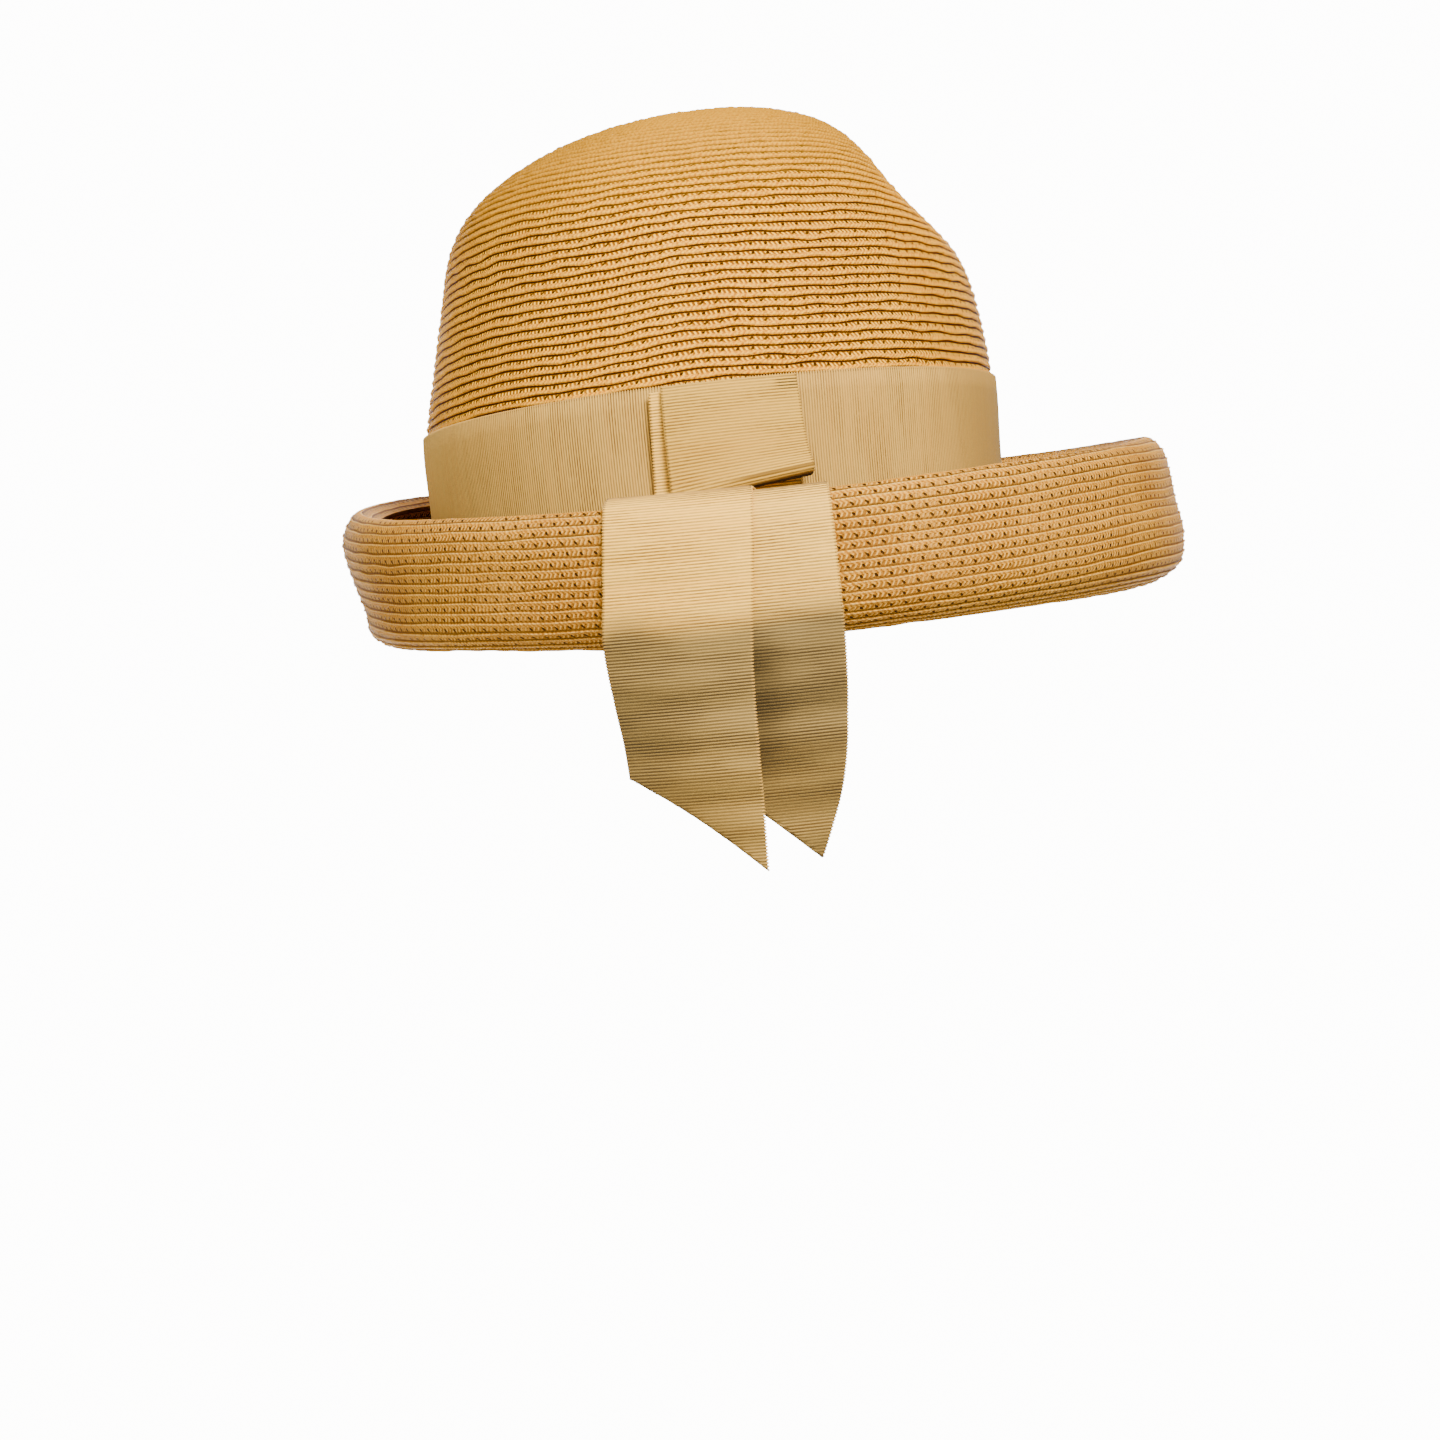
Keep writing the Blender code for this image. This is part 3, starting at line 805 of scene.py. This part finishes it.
# millimetres from the selvage, and the scallops' tops, painted as a highlight where the tail is
# painted in shade, and their gaps, painted in shadow
SELVAGE_FROM = 0.50
SELVAGE_TO = 0.20
SCALLOP_HIGHLIGHT = (0.55, 0.90, 0.0, 0.50)
SCALLOP_GAP_SHADOW = (0.45, 0.10, 0.0, 0.60)
# ribs from the loop's upper end to its crease, painted in shade, and to its underside, painted in
# deep shade
CREASE_RIB = 32.3
CREASE_RAMP = (0.75, 0.30)
CREASE_ACROSS = (0.30, 0.60)
CREASE_SHADE_SHARE = 0.85
UNDERSIDE_SHADE = (34.1, 35.3)
UNDERSIDE_SHADE_SHARE = 0.97
# pulled threads: shares of the width, ribs, and the gaps between ribs
PULLED_ACROSS = (0.80, 0.88)
PULLED_START = (0.6, 1.4)
PULLED_END = (5.6, 4.4)
PULLED_GAP = (0.60, 0.20)
PULLED_SHARE = 0.85
RIB_RELIEF = 0.8
THREAD_RELIEF = 0.08
WEAVE_RELIEF = 0.35
# tone, and what else each ribbon's colours have: the band and the loop are toned darker than the
# tails, and the right tail a little darker than the left, as painted shade on one ribbon
BAND_LOOK = {"tone": (0.65, 0.67, 0.64), "side": 0.55}
LOOP_LOOK = {"tone": (0.76, 0.77, 0.53), "fold": True}
# low: how strongly a tail's lower part is painted in shade
LEFT_LOOK = {"tone": (1.16, 1.17, 0.88), "low": 0.94}
# covered: millimetres of the right tail's width under the left tail
RIGHT_LOOK = {"tone": (1.05, 1.08, 0.90), "low": 0.94, "covered": 16.0}


def low_shade_colour(n, place, across, ribs, rib, depth, stain, look):
    """Painted shade over the lower part of a tail and over its stretch in the trough, and a painted
    shadow beside the other tail's edge.
    """
    waver = n.times(n.add(n.noise(place, LOW_DENSITY, 1.0), -0.5), LOW_WANDER)
    height = n.add(n.parts(place)[2], waver)
    low = n.times(n.ramp(height, *LOW_SHADE_RAMP), n.ramp(height, *LOW_SHADE_END))
    # the lower part painted in shade, with patches of deeper painted shade
    shade = n.mix(n.times(n.ramp(rib, *LOW_RIB_SHADE), depth), RIBBON_LOW_SHADE, RIBBON_DEEP_SHADE)
    shade = n.mix(n.times(n.ramp(stain, *LOW_SHADE_PATCHES), LOW_SHADE_PATCH_SHARE), shade, RIBBON_DEEP_SHADE)
    n.over(low, look["low"], shade)
    # painted shadow of the other tail, beside its edge
    if "covered" in look:
        edge = look["covered"]
        beside = n.times(n.ramp(across, edge + BESIDE_WIDTH, edge), n.ramp(height, *BESIDE_TOP))
        beside = n.times(beside, n.ramp(height, *BESIDE_END))
        n.over(beside, BESIDE_SHADOW_SHARE, RIBBON_DEEP_SHADE)
    # painted shade over the stretch deep in the trough
    trough = n.times(n.ramp(ribs, *TROUGH_START), n.ramp(ribs, *TROUGH_END))
    n.over(trough, TROUGH_SHADE_SHARE, RIBBON_DEEP_SHADE)


def fold_shade_and_threads(n, across, ribs, rib):
    """Painted shade in a crease and over the underside past the fold, and pulled threads at the top
    of one edge.
    """
    off_crease = n.math("ABSOLUTE", n.add(ribs, -CREASE_RIB))
    start, end = (share * RIBBON_MM for share in CREASE_ACROSS)
    crease = n.times(n.ramp(off_crease, *CREASE_RAMP), n.ramp(across, start, end))
    n.over(crease, CREASE_SHADE_SHARE, RIBBON_SHADE)
    n.over(n.ramp(ribs, *UNDERSIDE_SHADE), UNDERSIDE_SHADE_SHARE, SHADOW_BROWN)
    start, end = (share * RIBBON_MM for share in PULLED_ACROSS)
    pulled = n.times(n.ramp(across, start, end), n.ramp(ribs, *PULLED_END))
    pulled = n.times(n.times(pulled, n.ramp(ribs, *PULLED_START)), n.ramp(rib, *PULLED_GAP))
    n.over(pulled, PULLED_SHARE, RIBBON_DEEP_SHADE)


def ribbon_material(name, look):
    """Grosgrain: u is millimetres across the ribbon and v counts its ribs."""
    n = Finish(name, RIBBON_ROUGHNESS, RIBBON_GLOSS)
    across, ribs = n.uv()
    place = n.place()
    rib = n.wave(ribs)
    thread = n.sine(n.add(n.times(across, THREADS_ACROSS), n.times(ribs, 0.5)))
    weave_place = n.combine(n.times(across, WEAVE_SIZE[0]), n.times(ribs, WEAVE_SIZE[1]))
    weave = n.noise(weave_place, 1.0, 2.0)
    number = n.math("FLOOR", n.add(ribs, 0.5 - RIB_CREST))
    each = n.noise(n.combine(EACH_PLACE, number), EACH_STEP, 0.0)
    stain = n.noise(place, STAIN_DENSITY, 3.0)
    rib_shade_place = n.combine(n.times(across, RIB_SHADE_SIZE[0]), n.times(ribs, RIB_SHADE_SIZE[1]))
    depth = n.ramp(n.noise(rib_shade_place, 1.0, 2.0), *RIB_SHADE_RAMP)
    # the ribs' crests light and their valleys painted in shade
    n.colour = n.mix(n.times(n.ramp(rib, *RIB_SHADE), depth), RIBBON_LIGHT, RIBBON_SHADE)
    n.over(n.ramp(weave, *WEAVE_RAMP), WEAVE_SHARE, RIBBON_MIDDLE)
    n.over(n.ramp(each, *EACH_RAMP), EACH_SHARE, RIBBON_AGED)
    n.over(n.ramp(stain, *STAIN_RAMP), STAIN_SHARE, RIBBON_AGED)
    # painted shade on the band's right side
    if "side" in look:
        n.over(n.ramp(n.parts(place)[0], *SIDE_SHADE_RAMP), look["side"], RIBBON_SHADE)
    if "low" in look:
        # painted shade over a tail's lower part
        low_shade_colour(n, place, across, ribs, rib, depth, stain, look)
    # painted highlights on the scallops and painted shadow in the gaps between them, along both
    # selvages
    off_centre = n.math("ABSOLUTE", n.add(across, -RIBBON_MM / 2))
    edge = RIBBON_MM / 2
    selvage = n.ramp(off_centre, edge - SELVAGE_FROM, edge - SELVAGE_TO)
    n.over(selvage, n.ramp(rib, *SCALLOP_HIGHLIGHT), RIBBON_AGED)
    n.over(selvage, n.ramp(rib, *SCALLOP_GAP_SHADOW), RIBBON_DEEP_SHADE)
    # painted shade in the loop's crease and under its fold
    if "fold" in look:
        fold_shade_and_threads(n, across, ribs, rib)
    bump = n.add(n.times(rib, RIB_RELIEF), n.times(thread, THREAD_RELIEF))
    bump = n.add(bump, n.times(weave, WEAVE_RELIEF))
    n.shader.inputs["Sheen Weight"].default_value = RIBBON_SHEEN
    n.shader.inputs["Sheen Roughness"].default_value = RIBBON_SHEEN_ROUGHNESS
    return n.join(look["tone"], bump, RIBBON_BUMP)


# How far a row of braid stands out along its width, from the edge that lies on its neighbour.
BRAID_PROFILE = (
    # share of the row's width, share of BRAID_STAND
    (0.00, -0.90),
    (0.05, 0.62),
    (0.20, 1.00),
    (0.52, 0.55),
    (0.84, -0.45),
)
# the brim's rows, with a thin ridge at the edge
RIDGE_PROFILE = (
    (0.00, -0.25),
    (0.05, 0.70),
    (0.11, 0.75),
    (0.22, 0.12),
    (0.60, 0.20),
    (0.90, -0.25),
)
# the side that faces the head
INNER_PROFILE = ((0.05, 0.5), (0.55, 0.9), (0.95, -0.6))
STRAW_HALF = 0.00075
SEAM_AZIMUTH = 90.0
# the rows' wobble each for itself and all together, and the change in how far they stand out:
# the size, as a share of a row or of its height, and the fewest and most waves round the hat
ROW_WOBBLE = (0.055, 4, 46)
HAT_WOBBLE = (0.16, 2, 11)
ROW_BULGE = (0.22, 6, 90)


def column_azimuths(columns):
    return SEAM_AZIMUTH + 360.0 * np.arange(columns) / columns


def row_lines(rng, rows, columns, profile, sway=1.0):
    """Row coordinates of a braid's rings with their wobble, and how far each ring stands out."""
    shares = np.array([f for f, _ in profile])
    stands = np.array([h for _, h in profile])
    wobble = ROW_WOBBLE[0] * sway * periodic_noise(rng, rows + 1, columns, *ROW_WOBBLE[1:])
    wobble += HAT_WOBBLE[0] * sway * periodic_noise(rng, 1, columns, *HAT_WOBBLE[1:])
    bulge = 1 + ROW_BULGE[0] * periodic_noise(rng, rows, columns, *ROW_BULGE[1:])
    number = np.arange(rows)[:, None, None]
    share = shares[None, :, None]
    lines = number + share + wobble[:-1, None] * (1 - share) + wobble[1:, None] * share
    heights = stands[None, :, None] * bulge[:, None]
    plain = (number + share) * np.ones(columns)
    count = rows * len(profile)
    return tuple(made.reshape(count, columns) for made in (lines, heights, plain))


def row_uvs(grid, plain, rows):
    """Millimetres along each row, and the row coordinate, with a column more to close the ring."""
    step = np.linalg.norm(np.roll(grid, -1, axis=1) - grid, axis=-1) * MILLIMETRES
    start = np.zeros((len(grid), 1))
    u = np.concatenate([start, np.cumsum(step, axis=1)], axis=1)
    each = u.reshape(rows, -1, u.shape[1])
    u = np.repeat(each.mean(axis=1), each.shape[1], axis=0)
    v = np.concatenate([plain, plain[:, :1]], axis=1)
    return u, v


# the highest row's share of the way up the crown, which leaves room for its tip
LAST_SHARE = 0.9985
CROWN_SEED = 11
# rows below the tip that grow calm, how deep the rows' zero lies, and the inner face's relief
CALM_ROWS = 3.0
CROWN_SINK = 0.00025
CROWN_INNER_RELIEF = 0.5
# the uv pair of rims and tips
RIM_UV = (0.0, 0.5)


def crown_surface(columns):
    """A function from arc shares to heights on the crown, and the number of braid rows."""
    width = (CROWN_WIDTH + CROWN_LENGTH) / 4
    arc = arc_lengths(np.stack([OUTLINE[1] * width, OUTLINE[0] * CROWN_HEIGHT], axis=1))
    rows = round(arc[-1] / BRAID_PITCH)
    azimuth = column_azimuths(columns)

    def points(lines):
        share = np.interp(np.clip(lines / rows, 0, LAST_SHARE), arc / arc[-1], OUTLINE[0])
        return crown_points(azimuth[None, :] + 0 * share, share)

    return points, rows


def make_crown(finish):
    points, rows = crown_surface(CROWN_COLUMNS)
    rng = np.random.default_rng(CROWN_SEED)
    lines, stands, plain = row_lines(rng, rows, CROWN_COLUMNS, BRAID_PROFILE)
    calm = np.clip((rows - plain) / CALM_ROWS, 0, 1)
    lines = plain + (lines - plain) * calm
    lines[0] = 0
    grid = points(lines)
    normal = grid_normals(grid, True)
    grid = grid + normal * (stands * BRAID_STAND * calm - CROWN_SINK)[..., None]
    u, v = row_uvs(grid, plain, rows)
    half = CROWN_COLUMNS // 2
    inner_points, _ = crown_surface(half)
    _, inner_stands, inner_plain = row_lines(rng, rows, half, INNER_PROFILE)
    inner = inner_points(inner_plain)
    inner_normal = grid_normals(inner, True)
    depth = STRAW_WALL + inner_stands * BRAID_STAND * CROWN_INNER_RELIEF
    inner = inner - inner_normal * depth[..., None]
    inner_u, inner_v = row_uvs(inner, inner_plain, rows)
    count = grid.shape[0] * CROWN_COLUMNS
    faces = list(strip_faces(grid.shape[0], CROWN_COLUMNS, True, 0, False))
    uvs = [strip_uvs(u, v, True, False)]
    faces += list(strip_faces(inner.shape[0], half, True, count, True))
    uvs.append(strip_uvs(inner_u, inner_v, True, True))
    # the rim at the foot, and both tips
    rim = []
    for j in range(half):
        a = 2 * j
        b = (a + 1) % CROWN_COLUMNS
        c = (a + 2) % CROWN_COLUMNS
        i = count + j
        k = count + (j + 1) % half
        rim.append((b, a, i))
        rim.append((c, b, i, k))
    total = count + inner.shape[0] * half
    last = count - CROWN_COLUMNS
    inner_last = total - half
    for j in range(CROWN_COLUMNS):
        rim.append((last + j, last + (j + 1) % CROWN_COLUMNS, total))
    for j in range(half):
        rim.append((inner_last + (j + 1) % half, inner_last + j, total + 1))
    tips = np.array([grid[-1].mean(axis=0), inner[-1].mean(axis=0)])
    uvs.append(np.tile(RIM_UV, (sum(len(f) for f in rim), 1)))
    made = np.concatenate([grid.reshape(-1, 3), inner.reshape(-1, 3), tips])
    return mesh_object("crown_braid", made, faces + rim, np.concatenate(uvs), finish)


BRIM_SEED = 23
# rows from the free edge to the wall's foot, and to the crown
WALL_ROWS = 17
BRIM_ROWS = 39
# rows by the free edge with a lower ridge, its share there, and the rows over which it grows
PLAIN_LIP_ROWS = 2.0
LIP_RIDGE = 0.35
RIDGE_GROWS = 1.5
# rows by the crown that grow calm, and the inner face's relief
FOOT_ROWS = 2.0
BRIM_INNER_RELIEF = 0.8
# the wobble of the brim's rows as a share of the crown's
BRIM_SWAY = 0.62
# points along a section of the brim
DENSE = 241


def brim_surface(columns):
    """A function from row coordinates, counted from the free edge, to points of the brim."""
    places = np.linspace(0, len(BRIM_PROFILE) - 1, DENSE)
    sections = []
    for azimuth in column_azimuths(columns):
        section = brim_points(azimuth, places)[::-1]
        sections.append((section, arc_lengths(section)))

    def points(lines):
        made = np.empty((*lines.shape, 3))
        for j, (section, arc) in enumerate(sections):
            wall = WALL_ROWS * BRAID_PITCH
            pitch = (arc[-1] - wall) / (BRIM_ROWS - WALL_ROWS)
            line = lines[:, j]
            at = np.where(line < WALL_ROWS, line * BRAID_PITCH, wall + (line - WALL_ROWS) * pitch)
            for k in range(3):
                made[:, j, k] = np.interp(at, arc, section[:, k])
        return made

    return points


def make_brim(finish):
    points = brim_surface(BRIM_COLUMNS)
    rng = np.random.default_rng(BRIM_SEED)
    lines, stands, plain = row_lines(rng, BRIM_ROWS, BRIM_COLUMNS, RIDGE_PROFILE, BRIM_SWAY)
    foot = np.clip((BRIM_ROWS - plain) / FOOT_ROWS, 0, 1)
    lines = plain + (lines - plain) * foot
    grown = np.clip((plain - PLAIN_LIP_ROWS) / RIDGE_GROWS, 0, 1)
    ridge = LIP_RIDGE + (1 - LIP_RIDGE) * grown
    grid = points(lines)
    normal = -grid_normals(points(plain), True)
    outer = grid + normal * (STRAW_HALF + stands * BRAID_STAND * ridge)[..., None]
    u, v = row_uvs(outer, plain, BRIM_ROWS)
    _, inner_stands, inner_plain = row_lines(rng, BRIM_ROWS, BRIM_COLUMNS, INNER_PROFILE)
    inner_lines = inner_plain.copy()
    inner_lines[0] = lines[0]
    inner_normal = -grid_normals(points(inner_plain), True)
    depth = STRAW_HALF + inner_stands * BRAID_STAND * BRIM_INNER_RELIEF
    inner = points(inner_lines) - inner_normal * depth[..., None]
    inner_u, inner_v = row_uvs(inner, inner_plain, BRIM_ROWS)
    count = outer.shape[0] * BRIM_COLUMNS
    faces = list(strip_faces(outer.shape[0], BRIM_COLUMNS, True, 0, True))
    uvs = [strip_uvs(u, v, True, True)]
    faces += list(strip_faces(inner.shape[0], BRIM_COLUMNS, True, count, False))
    uvs.append(strip_uvs(inner_u, inner_v, True, False))
    rim = []
    last = count - BRIM_COLUMNS
    inner_last = count + (inner.shape[0] - 1) * BRIM_COLUMNS
    for j in range(BRIM_COLUMNS):
        k = (j + 1) % BRIM_COLUMNS
        rim.append((j, k, count + k, count + j))
        rim.append((last + k, last + j, inner_last + j, inner_last + k))
    uvs.append(np.tile(RIM_UV, (4 * len(rim), 1)))
    made = np.concatenate([outer.reshape(-1, 3), inner.reshape(-1, 3)])
    return mesh_object("brim_braid", made, faces + rim, np.concatenate(uvs), finish)


RIBBON_COLUMNS = 22
EDGE_COLUMN = 0.012
# points for each row of a coarse grid
SMOOTHING = 10


def across_shares():
    """Places across a ribbon, closer together at its edges."""
    inside = np.linspace(0, 1, RIBBON_COLUMNS - 1)[1:-1]
    return np.concatenate([[0, EDGE_COLUMN], inside, [1 - EDGE_COLUMN, 1]])


def smooth_rows(grid, across):
    """A coarse grid again, smooth, with points at the shares across and half a rib apart along."""
    rows, columns = grid.shape[:2]
    places = np.linspace(0, rows - 1, rows * SMOOTHING)
    flat = path_points(grid.reshape(rows, -1), places).reshape(-1, columns, 3)
    turned = flat.transpose(1, 0, 2).reshape(columns, -1)
    flat = path_points(turned, across * (columns - 1)).reshape(len(across), -1, 3)
    flat = flat.transpose(1, 0, 2)
    arc = arc_lengths(flat[:, len(across) // 2])
    count = round(arc[-1] / (RIB_PITCH / 2))
    at = np.linspace(0, arc[-1], count + 1)
    made = np.empty((len(at), len(across), 3))
    for j in range(len(across)):
        for k in range(3):
            made[:, j, k] = np.interp(at, arc, flat[:, j, k])
    return made


def zigzag(count):
    """1 on each rib's crest and -1 between two ribs."""
    return 1.0 - 2.0 * (np.arange(count) % 2)


def thicken(made):
    solid = made.modifiers.new("thickness", "SOLIDIFY")
    solid.thickness = RIBBON_THICKNESS
    solid.offset = 0.0
    return made


def ribbed_sheet(name, grid, across, finish):
    """A ribbon through a fine grid, with its ribs, scalloped edges and thickness."""
    normal = grid_normals(grid, False)
    rib = zigzag(len(grid))[:, None, None]
    side = unit(np.gradient(grid, axis=1))
    out = np.zeros((len(across), 1))
    out[0] = -1.0
    out[-1] = 1.0
    grid = grid + normal * rib * RIB_DEPTH
    grid = grid + side * out * (0.5 + 0.5 * rib) * SELVAGE_SCALLOP
    rows, columns = grid.shape[:2]
    u = np.tile(across * RIBBON_MM, (rows, 1))
    v = np.repeat(np.arange(rows)[:, None] / 2 + RIB_CREST, columns, axis=1)
    faces = list(strip_faces(rows, columns, False, 0, False))
    uvs = strip_uvs(u, v, False, False)
    return thicken(mesh_object(name, grid.reshape(-1, 3), faces, uvs, finish, False))


HANG_STEPS = 81
# how far the middle of each slanting cut lies above a straight line
CUT_BOW = {"tail_left": 0.0014, "tail_right": 0.0008}
# length, depth, phase across the width and phase of the soft waves in the hanging stretch
TAIL_WAVES = {
    "tail_left": ((0.0125, 0.00035, 1.0, 0.6), (0.0300, 0.00050, -2.2, 1.2)),
    "tail_right": ((0.0135, 0.00040, -1.4, 2.4), (0.0260, 0.00045, 1.8, 0.2)),
}
# shares of the hanging stretch over which its sides line up with the wall, and its waves grow
ALIGN_SHARE = 0.5
WAVES_FROM = 0.15
WAVES_OVER = 0.35


def make_tail(piece, name, layer, finish):
    across = across_shares()
    rows = np.array(HANGS[name])
    lift = brim_lift(layer - 1)
    coarse = (rows[0, 1] + np.linspace(0, 1, TAIL_STRIPS + 1) - 0.5) * RIBBON_WIDTH
    last = np.array([[brim_face_at(x, WALL_CONTROL, lift) for x in coarse]])
    upper = smooth_rows(np.concatenate([tail_grid(name, layer)[: -HANG_ROWS - 1], last]), across)
    start = (rows[0, 1] + across - 0.5) * RIBBON_WIDTH
    tops = np.array([brim_face_at(x, WALL_CONTROL, lift) for x in start])
    left_cut, right_cut = CUTS[name]
    bottom = -TAIL_HANG * (left_cut + (right_cut - left_cut) * across)
    bottom = bottom + CUT_BOW[name] * np.sin(math.pi * across)
    steps = math.ceil((tops[:, 2] - bottom).max() / (RIB_PITCH / 2))
    down = np.arange(1, steps + 1)[:, None] * RIB_PITCH / 2
    height = np.maximum(tops[None, :, 2] - down, bottom[None, :])
    share = (tops[None, :, 2] - height) / (tops[:, 2] - bottom)[None, :]
    fine = path_points(rows, np.linspace(0, len(rows) - 1, HANG_STEPS))
    centre, width, stand_off, turn = (np.interp(share, fine[:, 0], c) for c in fine[:, 1:].T)
    x = (centre + (across[None, :] - 0.5) * width) * RIBBON_WIDTH
    x = x + (tops[None, :, 0] - start[None, :]) * np.clip(1 - share / ALIGN_SHARE, 0, 1) ** 2
    y = tops[None, :, 1] - (stand_off + np.sin(np.radians(turn)) * across[None, :]) * RIBBON_WIDTH
    for length, depth, skew, phase in TAIL_WAVES[name]:
        wave = np.sin(2 * math.pi * height / length + skew * across[None, :] + phase)
        y = y + depth * wave * np.clip((share - WAVES_FROM) / WAVES_OVER, 0, 1)
    grid = np.concatenate([upper, np.stack([x, y, height], axis=-1)])
    return ribbed_sheet(piece, grid, across, finish)


def make_loop(finish):
    across = across_shares()
    return ribbed_sheet("loop_ribbon", smooth_rows(loop_grid(), across), across, finish)


BAND_ROWS = 9
# how far the band reaches over the seam at the crown's foot
BAND_COVER = 0.0007


def make_band(finish):
    """The band: its ribs stand upright, so they run along the columns."""
    columns = 2 * round(math.pi * (CROWN_WIDTH + CROWN_LENGTH) / 2 / RIB_PITCH)
    azimuth = column_azimuths(columns)
    heights = np.linspace(-BAND_COVER, RIBBON_WIDTH, BAND_ROWS) / CROWN_HEIGHT
    at = np.maximum(heights, 0.0)
    grid = crown_points(azimuth[None, :] + 0 * at[:, None], at[:, None] + 0 * azimuth[None, :])
    grid[:, :, 2] += ((heights - at) * CROWN_HEIGHT)[:, None]
    rib = zigzag(columns)[None, :, None]
    grid = grid + outward_at(azimuth)[None] * (layer_lift(0) + RIB_DEPTH * rib)
    grid[-1, :, 2] += SELVAGE_SCALLOP * (0.5 + 0.5 * rib[0, :, 0])
    u = np.tile(np.linspace(0, RIBBON_MM, BAND_ROWS)[:, None], (1, columns + 1))
    v = np.tile(np.arange(columns + 1)[None, :] / 2 + RIB_CREST, (BAND_ROWS, 1))
    faces = list(strip_faces(BAND_ROWS, columns, True, 0, False))
    uvs = strip_uvs(u, v, True, False)
    return thicken(mesh_object("band_ribbon", grid.reshape(-1, 3), faces, uvs, finish, False))


# Stage and light.
FLOOR_HEIGHT = -1.00
FLOOR_RADIUS = 3.0
FLOOR_COLUMNS = 96
FLOOR_PALE = (0.80, 0.80, 0.79)
STAGE_ROUGHNESS = 0.9
STAGE_GLOSS = 0.2


def make_stage():
    """A pale round floor, far below the hat."""
    n = Finish("stage_pale", STAGE_ROUGHNESS, STAGE_GLOSS)
    n.shader.inputs["Base Color"].default_value = (*FLOOR_PALE, 1.0)
    angle = np.linspace(0, 2 * math.pi, FLOOR_COLUMNS, endpoint=False)
    x = FLOOR_RADIUS * np.cos(angle)
    y = FLOOR_RADIUS * np.sin(angle)
    ring = np.stack([x, y, 0 * angle + FLOOR_HEIGHT], axis=-1)
    faces = [np.arange(FLOOR_COLUMNS)]
    uvs = np.zeros((FLOOR_COLUMNS, 2))
    made = mesh_object("stage_floor", ring, faces, uvs, n.material)


LIGHTS = (
    # name, place, size, power
    ("key", (0.42, -1.27, 0.78), 0.55, 62.0),
    ("fill", (-1.10, -0.90, 0.40), 1.2, 9.0),
    ("behind", (0.0, 1.4, 0.7), 1.4, 2.5),
)
LIGHT_COLOUR = (1.0, 0.965, 0.91)
WORLD_COLOUR = (1.0, 0.99, 0.97, 1.0)
WORLD_STRENGTH = 0.80
WORLD_GLOW = 13.0
# cosine of the angle from +Y between which the world's glow grows, and heights where it fades
GLOW_GROWS = (0.86, 0.935)
GLOW_FADES = (0.42, 0.26)


def make_world():
    """A pale world, brightest behind the hat."""
    world = bpy.data.worlds.new("world")
    world.use_nodes = True
    n = Nodes(world.node_tree)
    background = n.tree.nodes["Background"]
    background.inputs["Color"].default_value = WORLD_COLOUR
    direction = n.tree.nodes.new("ShaderNodeTexCoord").outputs["Generated"]
    _, y, z = n.parts(direction)
    level = n.ramp(y, *GLOW_GROWS, 0.0, WORLD_GLOW)
    glow = n.add(n.times(level, n.ramp(z, *GLOW_FADES)), WORLD_STRENGTH)
    n.put(background.inputs["Strength"], glow)
    bpy.context.scene.world = world


def make_lights():
    for name, place, size, power in LIGHTS:
        data = bpy.data.lights.new(name, "AREA")
        data.shape = "DISK"
        data.size = size
        data.energy = power
        data.color = LIGHT_COLOUR
        made = bpy.data.objects.new(name, data)
        made.location = place
        made.rotation_euler = (-Vector(place)).to_track_quat("-Z", "Y").to_euler()
        bpy.context.scene.collection.objects.link(made)


def settle(piece, node):
    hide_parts(node)
    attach(piece, "root")


def main():
    make_stage()
    make_lights()
    make_world()
    crown = make_crown(straw_material("crown_straw", CROWN_LOOK))
    brim = make_brim(straw_material("brim_straw", BRIM_LOOK))
    band = make_band(ribbon_material("band_grosgrain", BAND_LOOK))
    right_finish = ribbon_material("right_grosgrain", RIGHT_LOOK)
    right = make_tail("tail_right_ribbon", "tail_right", 1, right_finish)
    left_finish = ribbon_material("left_grosgrain", LEFT_LOOK)
    left = make_tail("tail_left_ribbon", "tail_left", 2, left_finish)
    loop = make_loop(ribbon_material("loop_grosgrain", LOOP_LOOK))
    settle(crown, "crown")
    settle(brim, "brim")
    settle(band, "band")
    settle(right, "tail_right")
    settle(left, "tail_left")
    settle(loop, "bow_loop")


main()
